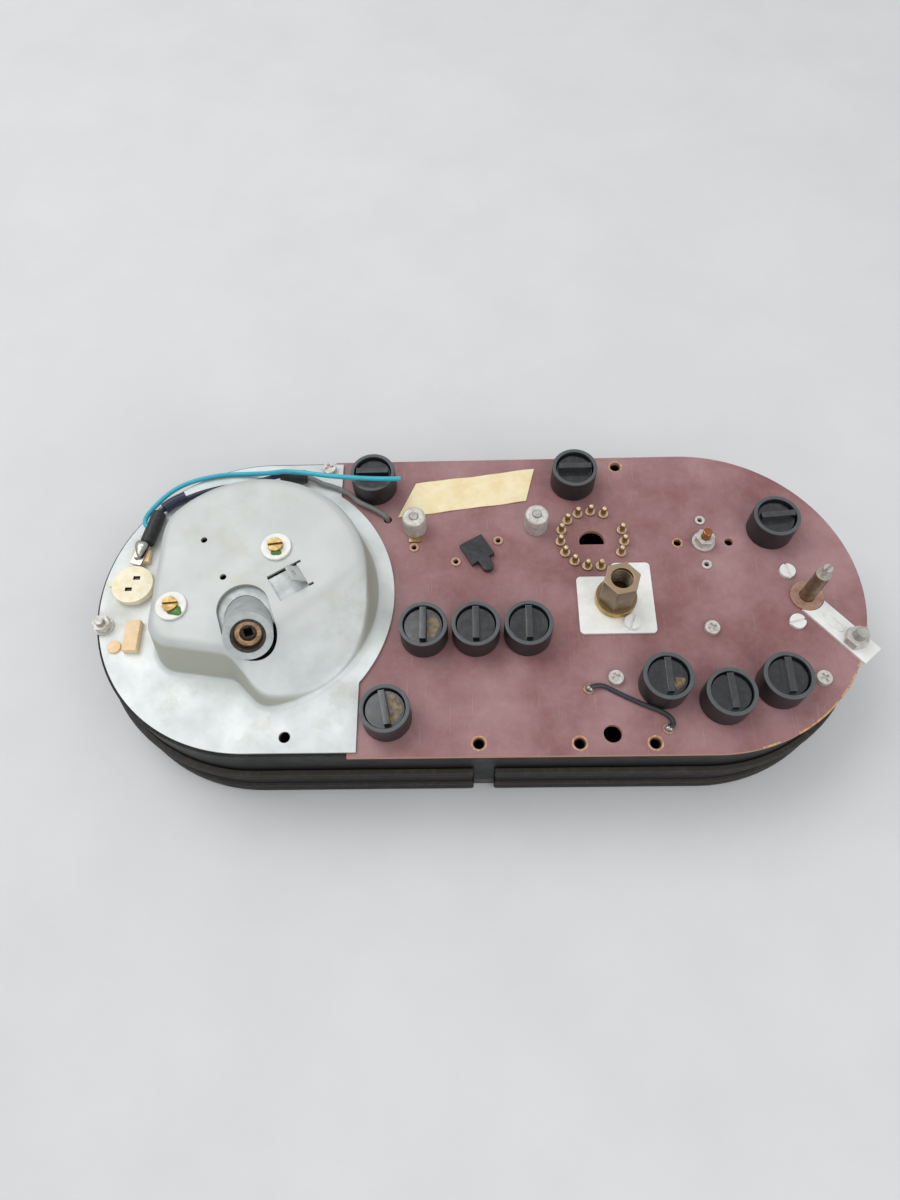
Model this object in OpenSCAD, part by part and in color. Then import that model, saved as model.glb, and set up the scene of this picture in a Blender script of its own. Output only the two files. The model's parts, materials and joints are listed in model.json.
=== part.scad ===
// Oblong instrument cluster with a speedometer, lying on its front window with its rear side up.
// Millimetres. +X along the length, +Z towards the rear, origin under the middle of the front face.

/* [Body] */
// Length over the circuit board
body_length = 266; // [230:1:290]
// Width over the circuit board
body_width = 114.6; // [100:0.2:124]
// Rear face of the circuit board above the front face
board_top = 36; // [35.8:0.1:42]
// Thickness of the circuit board
board_thick = 1.6; // [1.2:0.1:1.8]
// Thickness of the housing wall
wall = 2.5; // [2:0.1:3]
// Setback of the housing wall from the board's edge
wall_setback = 0.5; // [0.2:0.1:0.8]
// Width of the rim that carries the board
rim_width = 7.5; // [7:0.1:9]
// Thickness of the rim that carries the board
rim_thick = 3; // [2:0.1:4]
// Thickness of the floor behind the dial
floor_thick = 2; // [1.5:0.1:2.4]
// Diameter of the screw pillars
pillar_d = 6; // [5:0.1:7]
// Radius of the opening for the speedometer movement
movement_opening = 36; // [35:0.5:38]

/* [Front] */
// Depth of the front bezel
bezel_depth = 6; // [5.5:0.1:7]
// Width of the bezel's front lip
bezel_lip = 6; // [5:0.1:8]
// Thickness of the bezel's front lip
bezel_lip_thick = 1.5; // [1:0.1:1.8]
// Thickness of the window
lens_thick = 2.5; // [2:0.1:2.7]
// Front face of the dial plate
dial_front = 8; // [7.8:0.1:8.2]
// Thickness of the dial plate
dial_thick = 1; // [0.6:0.1:1.1]
// Clearance round the window and the dial plate
front_gap = 0.1; // [0.05:0.05:0.3]

/* [Seal strip] */
// Lower edge of the rubber strip
seal_bottom = 2; // [1:0.1:4]
// Upper edge of the rubber strip
seal_top = 21; // [18:0.1:24]
// Height of the strip's upper lip
seal_upper_lip = 3.5; // [2:0.1:5]
// Height of the strip's lower lip
seal_lower_lip = 5; // [3:0.1:7]
// Thickness of the strip at its lips
seal_lip_thick = 2.4; // [1.6:0.1:3.5]
// Thickness of the strip between its lips
seal_web_thick = 1; // [0.6:0.1:1.4]
// Width of the split in the strip
seal_split = 7; // [3:0.5:12]
// Place of the split along the lower edge
seal_split_x = 1.5; // [-20:0.5:20]

/* [Speedometer cover] */
// Thickness of the cover's sheet steel
cover_thick = 1; // [0.8:0.1:1.2]
// Setback of the cover from the board's edge
cover_setback = 1.5; // [1:0.1:2]
// Overlap of the cover on the circuit board
cover_overlap = 3; // [2:0.1:4]
// Radius of the cover's round edge beside the can
cover_edge_r = 52.1; // [51:0.1:53]
// Radius of the can at its foot
can_r = 40.4; // [39:0.1:41.5]
// Distance of the can's flat side from its centre
can_flat = 34; // [32:0.1:35]
// Height of the can above the plate
can_height = 19.5; // [19.2:0.1:21]
// Draft of the can's wall
can_draft = 2; // [1:0.1:3]
// Radius of the can's top edge
can_edge_r = 3.5; // [2.5:0.5:5]
// Distance of the can's sloping side from its centre, where it leaves the top
can_slope_from = 23.3; // [22.5:0.1:26]
// Angle of the can's sloping side
can_slope = 48; // [45:0.5:50]
// Radius of the bend above the sloping side
can_slope_r = 8; // [5:0.5:10]
// Radius of the can's inner step corner
can_step_r = 6; // [4:0.5:8]

/* [Cable port] */
// Tilt of the cable port from the dial's axis
port_tilt = 45; // [43:0.5:47]
// Turn of the cable port about the dial's axis
port_turn = 19.3; // [15:0.1:24]
// Outer diameter of the port's boss
port_d = 15.5; // [14.5:0.1:16.5]
// Distance of the boss's end from the gear point
port_reach = 38.9; // [37:0.1:41]
// Diameter of the bronze bush
bush_d = 10.6; // [9:0.1:12]
// Length of the bronze bush
bush_length = 10; // [8:0.5:12]
// Diameter of the cable seat in the bush
seat_d = 9.4; // [8:0.1:9.6]
// Depth of the cable seat in the bush
seat_depth = 2.6; // [2:0.1:3]
// Diameter of the input spindle
spindle_d = 5.1; // [4.6:0.1:5.6]
// Depth of the spindle's end below the bush's face
socket_depth = 4; // [3:0.1:5]
// Width of the square socket in the spindle
socket_w = 2.7; // [2.2:0.1:3]
// Running clearance of turning shafts, on the radius
run_gap = 0.05; // [0.02:0.01:0.08]

/* [Movement] */
// Shift of the dial's axis from the centre of the round end
speedo_shift = 4.3; // [3.5:0.1:5]
// Depth of the gear point below the board's rear face
gear_drop = 1.5; // [1.3:0.1:1.7]
// Teeth of each bevel gear
bevel_teeth = 12; // [10:2:12]
// Diameter of the rotor arbor
arbor_d = 3; // [2.6:0.1:3.2]
// Diameter of the magnet
magnet_d = 23.8; // [22:0.1:24]
// Height of the magnet
magnet_height = 4.3; // [3:0.1:4.5]
// Gap between the magnet and the speed cup
cup_gap = 0.8; // [0.6:0.1:0.9]
// Wall of the speed cup
cup_wall = 0.8; // [0.5:0.1:0.9]
// Diameter of the pointer staff
staff_d = 1.5; // [1.2:0.1:1.8]
// Turns of the hairspring
spring_turns = 4; // [2:1:5]
// Thickness of the movement frame's plate
frame_thick = 2.2; // [1.8:0.1:2.2]
// Radius of the movement frame's plate
frame_r = 33; // [32:0.5:34]
// Reach of the speed needle
needle_reach = 40; // [34:1:42]

/* [Odometer] */
// Lead of the worm on the rotor arbor
worm_lead = 1.25; // [1.25:0.01:1.3]
// Teeth of the wheel on the worm shaft
wheel_teeth = 24; // [24:1:25]
// Lead of the worm on the worm shaft
counter_lead = 1.5; // [1.5:0.01:1.55]
// Teeth of the first drum's wheel
counter_teeth = 26; // [26:1:27]
// Radius of the number drums
drum_r = 7; // [6.6:0.1:7.1]
// Width of one number drum
drum_w = 4.6; // [4:0.1:4.7]
// Gap between the drums
drum_gap = 0.2; // [0.15:0.05:0.4]

/* [Lamps] */
// Outer diameter of the lamp collars
collar_d = 16.2; // [15.6:0.1:16.8]
// Height of the lamp collars
collar_height = 10; // [9:0.1:11]
// Wall of the lamp collars
collar_wall = 1.4; // [1:0.1:1.8]
// Depth of the holder's face below the collar's rim
holder_sink = 1.6; // [1:0.1:2.5]
// Width of the holder's grip
grip_w = 2.2; // [1.8:0.1:3.2]
// Height of the grip above the collar's rim
grip_rise = 1.2; // [0:0.1:1.6]
// Diameter of the holder's stem
stem_d = 8.8; // [8:0.1:9.4]
// Length of the holder's stem below the board
stem_length = 8; // [6:0.5:9]
// Diameter of the bulbs
bulb_d = 5.6; // [4.6:0.1:6]
// Clearance of the holders, on the radius
holder_gap = 0.3; // [0.05:0.05:0.4]
// Diameter of the cream holder on the cover
cream_d = 14.4; // [13.6:0.1:14.6]
// Height of the cream holder on the cover
cream_height = 2.8; // [2:0.1:4]

/* [Connections] */
// Radius of the connector's pin ring
pin_ring_r = 11.4; // [11:0.1:12]
// Diameter of the connector pins
pin_d = 2; // [1.6:0.1:2.4]
// Height of the connector pins
pin_height = 4.8; // [3:0.1:7]
// Radius of the connector's key hole
key_r = 4.5; // [4:0.1:5]
// Distance between the two terminals
terminal_spacing = 43.7; // [42:0.1:45]
// Diameter of the terminal nuts
terminal_nut_d = 8.4; // [8:0.1:10]
// Height of the terminal nuts
terminal_nut_height = 8.5; // [7:0.1:10]
// Thread diameter of the terminals and the gauge stud
terminal_thread = 3.2; // [3:0.1:4.5]
// Width across flats of the pressure union
union_af = 11; // [10:0.1:12]
// Height of the pressure union above the board
union_height = 17; // [15:0.5:20]
// Bore of the pressure union
union_bore = 7.4; // [6.8:0.1:8]
// Diameter of the pressure union's flange
union_flange_d = 14.2; // [13.5:0.1:15]
// Side of the union plate
union_plate_w = 26; // [24:0.5:28]
// Thickness of the union plate and the strap
strip_thick = 1; // [0.8:0.1:1.5]

/* [Dimmer] */
// Diameter of the dimmer's spindle
dimmer_d = 5; // [4.5:0.1:5.5]
// Height of the spindle's shoulder above the board
dimmer_shoulder = 16.5; // [14:0.5:20]
// Length of the spindle's slotted tip
dimmer_tip = 4; // [3:0.1:6]
// Diameter of the copper washer
dimmer_washer_d = 11.2; // [10.5:0.1:12.5]
// Radius of the rheostat under the board
dimmer_body_r = 13; // [12.6:0.1:13.4]
// Width of the earth strap
strap_w = 8.2; // [7.5:0.1:9]
// Length of the earth strap
strap_length = 23.5; // [20:0.5:24]

/* [Fasteners] */
// Thread diameter of the right fixing stud
right_stud_d = 4; // [3.5:0.1:4.5]
// Thread diameter of the left fixing stud
left_stud_d = 3; // [2.5:0.1:3.5]
// Head diameter of the cross-slot screws
cross_head_d = 5; // [4.6:0.1:6]
// Head diameter of the slotted screws
slot_head_d = 5.4; // [5:0.1:6]
// Thread diameter of all screws
screw_d = 3; // [2.5:0.1:3.2]
// Diameter of the empty board holes
board_hole_d = 3.8; // [3.2:0.1:4.4]

/* [Hidden] */
$fn = 48;
eps = 0.01;
wire_sides = 8;

// Ends of the oblong
half_w = body_width / 2;
arc_x = body_length / 2 - half_w;
left_end = [-arc_x, 0];
right_end = [arc_x, 0];

// Levels
board_bottom = board_top - board_thick;
floor_z = dial_front + dial_thick;
floor_top = floor_z + floor_thick;
cover_top = board_top + cover_thick;
can_top = cover_top + can_height;
collar_top = board_top + collar_height;

// Speedometer cover
cover_round = left_end + [-5, -0.3];
cover_edge_top = left_end[0] + 26.4;
cover_edge_low = left_end[0] + 36.2;
can_centre = left_end + [1.2, -0.5];
can_slope_turn = -49;
can_step = [-5.6, -30.4];
can_step_turns = [171.4, 313.9];
can_arc_parts = 4;
port_slot = [14.3, 23.9];
port_room = 1.5;
cover_screw_at = [left_end + [9.3, 8.5], left_end + [-22.7, -12.8]];
cover_pinholes = [left_end + [-15.4, 12], left_end + [-7.3, -2.2]];
cover_pinhole_d = 2.2;
lanced_at = left_end + [14.2, -4.2];
lanced_turn = 31;
lanced_w = 10.5;
lanced_tab = [6.5, 0.8, 5];
cover_hole_at = left_end + [13, 6.7 - half_w];
cream_at = left_end + [-44.7, 4.6];
clip_at = left_end + [-41.9, -14.8];
clip_size = [5, 11.4, 2.6];
clip_rivet_at = left_end + [-47.9, -18.3];
tag_base_at = left_end + [-43.9, 16.4];
tag_base_size = [6.5, 5, 2.2];
tag_size = [4, 8, 0.8];
tag_turn = -15;
solder_r = 1.7;
solder_height = 2;
solder_offset = [-0.6, -1];

// Movement, set out from the dial's axis
axis_at = left_end - [speedo_shift, 0];
gear_z = board_top - gear_drop;
frame_z = gear_z - 3.5 - frame_thick;
worm_z = frame_z - 2.6;
worm_r = 2.1;
worm_throw = 0.35;
counter_throw = 0.4;
tooth_engage = 0.15;
tooth_tip_w = 0.2;
tooth_depth = 0.8;
wheel_r = wheel_teeth * worm_lead / (2 * PI);
counter_r = counter_teeth * counter_lead / (2 * PI);
shaft_x = worm_r + wheel_r;
shaft_d = 2;
wheel_w = 1.2;
counter_y = -22;
counter_z = worm_z - worm_r - counter_r;
axle_d = 2.4;
drum_count = 5;
drum_right = shaft_x - worm_r - counter_throw - 0.4;
arm_w = 1.6;
arm_depth = 8;
arm_right_x = shaft_x + worm_r + counter_throw + 0.7;
arm_left_x = drum_right - drum_count * (drum_w + drum_gap) - 0.4 - arm_w;
magnet_z = 15;
cup_z = magnet_z - 0.7 - cup_wall;
cup_r = magnet_d / 2 + cup_gap;
cup_height = magnet_height + 2.2;
bridge_thick = 1.5;
bridge_z = floor_top - 1;
bridge_leg = [18, 12];
bridge_leg_d = 5;
spring_z = bridge_z + bridge_thick + 0.6;
spring_height = 0.7;
spring_inner = 2;
spring_outer = 7.5;
spring_wire = 0.3;
needle_z = bezel_lip_thick + lens_thick + 0.9;
needle_thick = 1;
hub_r = 4;
hub_height = 2;
speed_zero = -35;
gauge_zero = 45;
pivot_d = 0.8;
pivot_length = 2.2;

// Bevel gears: both pitch cones meet at the gear point
cone_angle = (180 - port_tilt) / 2;
cone_outer = 5.4;
cone_inner = 4;
addendum = atan(0.5 / cone_outer);
dedendum = atan(0.75 / cone_outer);
slot_root_w = 1;
slot_mouth_w = 3.2;
slot_reach = 3;
bevel_back = 1.2;

// Lamps: place and turn of the grip
row_pitch = 17.5;
row_y = -15.2;
lamps = [
    [left_end + [38.7, half_w - 11.5], 0],
    [[36.3, half_w - 11], 0],
    [right_end + [29.3, 24.4], 4],
    [[-18, row_y], 90],
    [[-18 + row_pitch, row_y], 90],
    [[-18 + 2 * row_pitch, row_y], 90],
    [left_end + [45.9, 13.1 - half_w], 102],
    [right_end + [-15.3, -34.4], 90],
    [right_end + [3.9, -40], 92],
    [right_end + [22.6, -34.9], 90]
];
collar_bore = collar_d - 2 * collar_wall;
holder_d = collar_bore - 2 * holder_gap;
grip_length = holder_d - 1.2;
stem_hole = stem_d + 2 * holder_gap + 0.1;
bulb_length = 8;
seat_gap = 0.1;
light_hole = 10;

// Connections
key_at = [41.6, 20.9];
key_flat = 1.2;
pin_centre = [41.7, 21.8];
pin_step = 24;
pin_start = 65;
pin_places = [0, 1, 2, 3, 4, 5, 6, 7, 8, 9, 11, 12, 13];
pin_foot_d = 3.6;
fuel_at = [0, 27.6];
terminal_at = [for (s = [-1, 1]) fuel_at + [s * terminal_spacing / 2, 0]];
terminal_tip = 0.5;
terminal_chamfer = 0.7;
union_at = [47.6, -3];
union_plate_low = [34.8, -15.6];
union_plate_corner = 1.5;
union_plate_step = 5.3;
union_plate_step_x = 12.5;
union_plate_left_h = 21.8;
union_flange_h = 3;
union_shank_d = 9.6;
union_bore_depth = 14;
temperature_at = right_end + [5.3, 19.8];
gauge_eye_r = 9.1;
plug_at = [0.4, 17.4];
plug_w = 9;
plug_turn = 30;
plug_thick = 2.2;
tongue = [4.2, 5];
jumper_start = right_end + [-39.5, -35.2];
jumper_end = right_end + [-15.2, -49];
eyelet_at = [[8.1, 21.8], [-7.1, 13.4], [-22.1, 19.5], jumper_start, jumper_end,
    temperature_at + [0, gauge_eye_r], temperature_at - [0, gauge_eye_r]];
eyelet_d = 3.6;
eyelet_bore = 2.5;
eyelet_hole = 1.8;
eyelet_height = 0.5;
board_holes = [[-0.2, 4.3 - half_w], [32, 4 - half_w], [56, 3.8 - half_w], [52.8, half_w - 4.2]];
large_hole_at = [42.7, 7 - half_w];
large_hole_d = 5.9;
gauge_holes = [temperature_at - [gauge_eye_r, 0], temperature_at + [gauge_eye_r, 0]];
lead_hole_at = left_end + [43.8, 31.5];
lead_hole_d = 3;

// Gauges behind the dial
gauge_z = floor_top + 0.2;
gauge_top = board_bottom - 4.4;
fuel_r = 15;
pressure_r = 17;
temperature_r = 14;
fuel_ear = [terminal_spacing + 9, 9, 3];
small_staff_d = 1.6;
small_needle = [15, 1.4];
small_hub_r = 2.6;

// Dimmer and strap
dimmer_at = right_end + [37.4, -2.4];
dimmer_body_z = floor_top + 9;
dimmer_top = board_bottom;
dimmer_cup_wall = 2;
dimmer_tip_d = 3;
dimmer_washer_thick = 1;
dimmer_slot = [0.8, 2];
wiper_size = [9.5, 3, 1.2];
strap_turn = -50.2;
strap_start = dimmer_at + [2.3, -4.7];
strap_tuck = 3;
strap_nut_at = 15.9;
strap_slot = [7, 2.2];
strap_slot_at = 7.3;
right_stud_at = strap_start + [cos(strap_turn), sin(strap_turn)] * strap_nut_at;
left_stud_at = left_end + [-52.9, -10.4];
right_stud_tip = 8;
left_stud_tip = 5;
stud_root = 7;
stud_boss_d = 9;

// Fasteners
cross_at = [left_end + [21.4, half_w - 4.1], right_end + [3.4, -14.2], right_end + [-30.5, -31.7],
    right_end + [37, -32.7]];
dimmer_screw_at = [dimmer_at + [-4.9, 9.7], dimmer_at + [-4.9, -9.7]];
union_screw_at = union_at + [4.8, -9];
pan_head = 2;
cheese_head = 1.4;
slot_w = 0.9;
slot_depth = 0.8;
screw_grip = 8;

// Wire routes: those on the cover start from the left end's centre, the jumper from its first eyelet,
// and all heights are above the board
sleeve_d = 5;
sleeve_z = cover_thick + sleeve_d / 2;
sleeve_ends = [[[-42.3, 21, sleeve_z], [-39.5, 34, sleeve_z]], [[3.7, 49.5, sleeve_z], [13.7, 48.6, sleeve_z]]];
loose_wire_d = 1.7;
flat_z = cover_thick + loose_wire_d / 2 + 0.05;
over_z = collar_height + grip_rise + loose_wire_d / 2 + 0.35;
loose_wire_route = [[-41.2, 26.4, 4.6], [-43.6, 28.4, 4.5], [-44.3, 31.4, 3.6], [-43.6, 34.8, 2.8],
    [-41.8, 38.4, 2.2], [-39.2, 42.2, flat_z], [-35.3, 45.8, flat_z], [-30.5, 48.4, flat_z],
    [-24.8, 50.2, flat_z], [-18.8, 51.3, flat_z], [-12.8, 51.6, flat_z], [-7.3, 51.2, 2.6], [-2.3, 50, 4.4],
    [2.2, 48.6, 6.9], [6.7, 47.2, 9.3], [12.2, 45.6, 10.9], [17.7, 44.2, 11.7], [22.7, 43, 12.2],
    [27.7, 42.2, over_z], [33.7, 41.6, over_z], [39.2, 41.2, over_z], [44.2, 41, over_z], [49.2, 40.9, over_z]];
lead_d = 1.9;
lead_z = cover_thick + lead_d / 2 + 0.05;
blue_lead_route = [[-39.8, 32.6, sleeve_z], [-39.2, 34.6, 3.4], [-37.6, 36.8, 2.8], [-35.2, 38.7, 2.2],
    [-31.3, 41, lead_z], [-25.3, 43.6, lead_z], [-18.3, 45.6, lead_z], [-11.3, 46.8, lead_z], [-5.3, 47.8, 2.4],
    [-0.3, 48.8, 3.1], [3.2, 49.5, sleeve_z], [5, 49.4, sleeve_z]];
grey_lead_route = [[12.4, 48.7, sleeve_z], [14.3, 48.4, 3.4], [16.6, 47.5, 2.9], [19.4, 46.2, 2.4],
    [23.4, 44.9, 2.1], [27, 43.2, lead_z], [29.8, 41.4, lead_z], [31.8, 39.3, 2.1], [34.4, 37.4, 2.1],
    [37.7, 35.7, 1.9], [40.4, 34.1, 1.7], [42.4, 32.6, 1.6], [43.4, 31.9, 0.8], [43.7, 31.6, -0.4],
    [43.8, 31.5, -1.8]];
jumper_d = 1.6;
jumper_z = jumper_d / 2 + 0.05;
jumper_route = [[0.2, 0.1, 1.3], [2.3, 0.8, 1.2], [5.1, 0.7, jumper_z], [8.8, -1.4, jumper_z],
    [13.1, -3.7, jumper_z], [17.7, -6, jumper_z], [22.1, -7.9, jumper_z], [25, -9.9, jumper_z],
    [25.9, -12, 1.1], [25.1, -13.4, 1.3], [24.4, -13.7, 1.3]];

// Shared shapes

module at(p, z = 0) {
    translate([p[0], p[1], z]) children();
}

module bar(p, z0, z1, d) {
    at(p, z0) cylinder(d = d, h = z1 - z0);
}

module oblong(inset) {
    r = half_w - inset;
    square([2 * arc_x, 2 * r], center = true);
    for (s = [-1, 1]) translate([s * arc_x, 0]) circle(r, $fn = 96);
}

module slab(z0, z1, inset) {
    translate([0, 0, z0]) linear_extrude(z1 - z0) oblong(inset);
}

// Area of the speedometer cover, drawn in by a margin on its inner edges
module cover_area(margin) {
    reach = 4 * half_w;
    translate([cover_edge_top - margin - reach, -reach / 2]) square(reach);
    translate([cover_edge_low - margin - reach, cover_round[1] - reach]) square(reach);
    translate(cover_round) circle(cover_edge_r - margin, $fn = 96);
}

// Places a child along the inclined cable port
module along_port(distance = 0) {
    translate([axis_at[0], axis_at[1], gear_z]) rotate([0, 0, port_turn]) rotate([port_tilt, 0, 0])
        translate([0, 0, distance]) children();
}

// Round wire through a list of points
function unit(v) = v / norm(v);
function along(p, i) = unit(p[min(i + 1, len(p) - 1)] - p[max(i - 1, 0)]);
function side(t) = unit(cross(t, [0, 0, 1]));
function ring(p, i, r) = let (t = along(p, i), a = side(t), b = cross(a, t))
    [for (k = [0:wire_sides - 1]) p[i] + r * (cos(360 * k / wire_sides) * a + sin(360 * k / wire_sides) * b)];

module wire(route, d, start) {
    p = [for (q = route) q + [start[0], start[1], board_top]];
    n = len(p);
    s = wire_sides;
    points = [for (i = [0:n - 1]) each ring(p, i, d / 2)];
    walls = [for (i = [0:n - 2], k = [0:s - 1]) let (a = i * s + k, b = i * s + (k + 1) % s)
        each [[a, b + s, b], [a, a + s, b + s]]];
    foot = [for (k = [1:s - 2]) [0, k, k + 1]];
    head = [for (k = [1:s - 2]) [(n - 1) * s, (n - 1) * s + k + 1, (n - 1) * s + k]];
    polyhedron(points, concat(walls, foot, head));
}

// Toothed wheel outline for a worm
function wheel_points(teeth, tip_r) = let (root_r = tip_r - tooth_depth, foot_w = tooth_tip_w + 0.5)
    [for (i = [0:teeth - 1], q = [[root_r, -foot_w], [tip_r, -tooth_tip_w], [tip_r, tooth_tip_w],
        [root_r, foot_w]]) let (t = 360 * i / teeth + asin(q[1] / 2 / q[0])) q[0] * [cos(t), sin(t)]];

module worm(lead, throw, turns) {
    translate([0, 0, -lead * turns / 2]) linear_extrude(lead * turns, twist = -360 * turns, slices = 12 * turns)
        rotate(180 * turns) translate([throw, 0]) circle(worm_r, $fn = 14);
}

// Bevel gear below its cone point, with a gap between teeth at the given turn
module bevel_gear(turn) {
    tip = cone_angle + addendum;
    root = cone_angle - dedendum;
    rim_z = -cone_outer * cos(cone_angle) - bevel_back;
    difference() {
        rotate_extrude() polygon([[0, -cone_inner * cos(root)],
            [cone_inner * sin(root), -cone_inner * cos(root)], [cone_inner * sin(tip), -cone_inner * cos(tip)], [cone_outer * sin(tip), -cone_outer * cos(tip)],
            [cone_outer * sin(root), rim_z + 0.4], [cone_outer * sin(root) - 0.4, rim_z], [0, rim_z]]);
        for (i = [0:bevel_teeth - 1]) rotate([0, 0, turn + 360 * i / bevel_teeth]) rotate([0, 180 - root, 0])
            linear_extrude(cone_outer + 2) polygon([[0, -slot_root_w / 2], [0, slot_root_w / 2],
                [-slot_reach, slot_mouth_w / 2], [-slot_reach, -slot_mouth_w / 2]]);
    }
}

module pan_screw(p, z, d, grip) {
    bar(p, z - grip, z, screw_d);
    difference() {
        bar(p, z, z + pan_head, d);
        for (a = [0, 90]) at(p, z + pan_head) rotate([0, 0, a + 20])
            cube([d * 0.6, slot_w, 2 * slot_depth], center = true);
    }
}

module slot_screw(p, z, d, grip, turn) {
    bar(p, z - grip, z, screw_d);
    difference() {
        bar(p, z, z + cheese_head, d);
        at(p, z + cheese_head) rotate([0, 0, turn]) cube([2 * d, slot_w, 2 * slot_depth], center = true);
    }
}

module hex_nut(p, z, af, height, bore, turn) {
    difference() {
        at(p, z) rotate([0, 0, turn]) cylinder(d = af / cos(30), h = height, $fn = 6);
        bar(p, z - eps, z + height + eps, bore);
    }
}

// Case and front

module rim_ring() {
    difference() {
        oblong(wall_setback);
        oblong(wall_setback + rim_width);
    }
}

module housing() {
    color("#1c1e20") difference() {
        union() {
            difference() {
                slab(bezel_depth, board_bottom, wall_setback);
                slab(bezel_depth - 1, board_bottom + 1, wall_setback + wall);
            }
            slab(floor_z, floor_top, wall_setback + wall / 2);
            translate([0, 0, board_bottom - rim_thick]) linear_extrude(rim_thick) rim_ring();
            translate([0, 0, board_bottom - eps]) linear_extrude(board_thick + eps) intersection() {
                rim_ring();
                cover_area(cover_overlap + 0.2);
            }
            for (i = [1:3]) bar(cross_at[i], floor_z, board_bottom, pillar_d);
            intersection() {
                union() {
                    bar(left_stud_at, board_top - stud_root - 3, board_top, stud_boss_d);
                    bar(right_stud_at, board_bottom - stud_root - 3, board_bottom, stud_boss_d);
                }
                slab(bezel_depth, board_top, wall_setback);
            }
        }
        bar(axis_at, floor_z - 1, floor_top + 1, 2 * movement_opening);
        for (p = concat([for (l = lamps) l[0]], [cream_at])) {
            bar(p, floor_z - 1, floor_top + 1, light_hole);
            bar(p, board_bottom - rim_thick - 1, board_top + 1, stem_hole + 0.6);
        }
        bar(dimmer_at, board_bottom - rim_thick - 1, board_top + 1, 2 * dimmer_body_r + 0.6);
        for (g = [fuel_at, union_at, temperature_at]) bar(g, floor_z - 1, floor_top + 1, small_staff_d + 2);
        bar(cross_at[0], board_top - screw_grip, board_top + 1, screw_d);
        for (i = [1:3]) bar(cross_at[i], board_top - screw_grip, board_top + 1, screw_d);
        for (p = board_holes) bar(p, board_bottom - rim_thick - 1, board_top, screw_d);
        bar(large_hole_at, board_bottom - rim_thick - 1, board_top, large_hole_d);
        bar(cover_hole_at, board_bottom - rim_thick - 1, board_top + 1, screw_d);
        bar(left_stud_at, board_top - stud_root, board_top + 1, left_stud_d);
        bar(right_stud_at, board_top - stud_root, board_top + 1, right_stud_d);
    }
}

module bezel() {
    color("#2a2521") difference() {
        slab(0, bezel_depth, wall_setback);
        slab(-1, bezel_depth + 1, wall_setback + bezel_lip);
        slab(bezel_lip_thick, bezel_depth + 1, wall_setback + wall);
    }
}

module lens() {
    color("#cfe0e4") slab(bezel_lip_thick, bezel_lip_thick + lens_thick, wall_setback + wall + front_gap);
}

module seal_strip() {
    color("#241f1c") difference() {
        union() {
            slab(seal_bottom, seal_bottom + seal_lower_lip, wall_setback - seal_lip_thick);
            slab(seal_bottom, seal_top, wall_setback - seal_web_thick);
            slab(seal_top - seal_upper_lip, seal_top, wall_setback - seal_lip_thick);
        }
        slab(seal_bottom - 1, seal_top + 1, wall_setback);
        translate([seal_split_x - seal_split / 2, -half_w - seal_lip_thick - 1, seal_bottom - 1])
            cube([seal_split, seal_lip_thick + 2, seal_top - seal_bottom + 2]);
    }
}

module dial_plate() {
    window = [drum_count * (drum_w + drum_gap), 7.5];
    color("#15181a") difference() {
        slab(dial_front, floor_z, wall_setback + wall + front_gap);
        bar(axis_at, dial_front - 1, floor_z + 1, staff_d + 2);
        for (g = [fuel_at, union_at, temperature_at]) bar(g, dial_front - 1, floor_z + 1, small_staff_d + 1);
        at(axis_at + [drum_right - window[0], counter_y - window[1] / 2], dial_front - 1)
            cube([window[0], window[1], dial_thick + 2]);
    }
}

// Circuit board and its fittings

module circuit_board() {
    color("#7d4f50") difference() {
        translate([0, 0, board_bottom]) linear_extrude(board_thick) difference() {
            oblong(0);
            cover_area(cover_overlap);
        }
        for (i = [0:len(lamps) - 1]) bar(lamps[i][0], board_bottom - 1, board_top + 1, stem_hole);
        for (p = board_holes) bar(p, board_bottom - 1, board_top + 1, board_hole_d);
        bar(large_hole_at, board_bottom - 1, board_top + 1, large_hole_d);
        for (p = gauge_holes) bar(p, board_bottom - 1, board_top + 1, screw_d);
        for (p = eyelet_at) bar(p, board_bottom - 1, board_top + 1, eyelet_bore);
        for (p = terminal_at) bar(p, board_bottom - 1, board_top + 1, terminal_thread);
        bar(temperature_at, board_bottom - 1, board_top + 1, terminal_thread);
        for (i = pin_places) bar(pin_at(i), board_bottom - 1, board_top + 1, pin_d);
        bar(union_at, board_bottom - 1, board_top + 1, union_shank_d);
        bar(dimmer_at, board_bottom - 1, board_top + 1, dimmer_d + 1);
        bar(right_stud_at, board_bottom - 1, board_top + 1, right_stud_d);
        for (i = [1:3]) bar(cross_at[i], board_bottom - 1, board_top + 1, screw_d);
        for (p = concat(dimmer_screw_at, [union_screw_at])) bar(p, board_bottom - 1, board_top + 1, screw_d);
        bar(lead_hole_at, board_bottom - 1, board_top + 1, lead_hole_d);
        at(plug_at, board_bottom - 1) rotate([0, 0, plug_turn]) linear_extrude(board_thick + 2)
            square(plug_w / 2, center = true);
        at(key_at, board_bottom - 1) linear_extrude(board_thick + 2) difference() {
            circle(key_r);
            translate([-key_r, -2 * key_r - key_flat]) square(2 * key_r);
        }
    }
}

function pin_at(i) = pin_centre + pin_ring_r * [cos(pin_start + pin_step * i), sin(pin_start + pin_step * i)];

module connector_pins() {
    color("#b08d57") for (i = pin_places) {
        bar(pin_at(i), board_bottom - 1, board_top + pin_height - pin_d / 2, pin_d);
        bar(pin_at(i), board_top, board_top + 0.8, pin_foot_d);
        at(pin_at(i), board_top + pin_height - pin_d / 2) sphere(d = pin_d, $fn = 24);
    }
}

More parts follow.
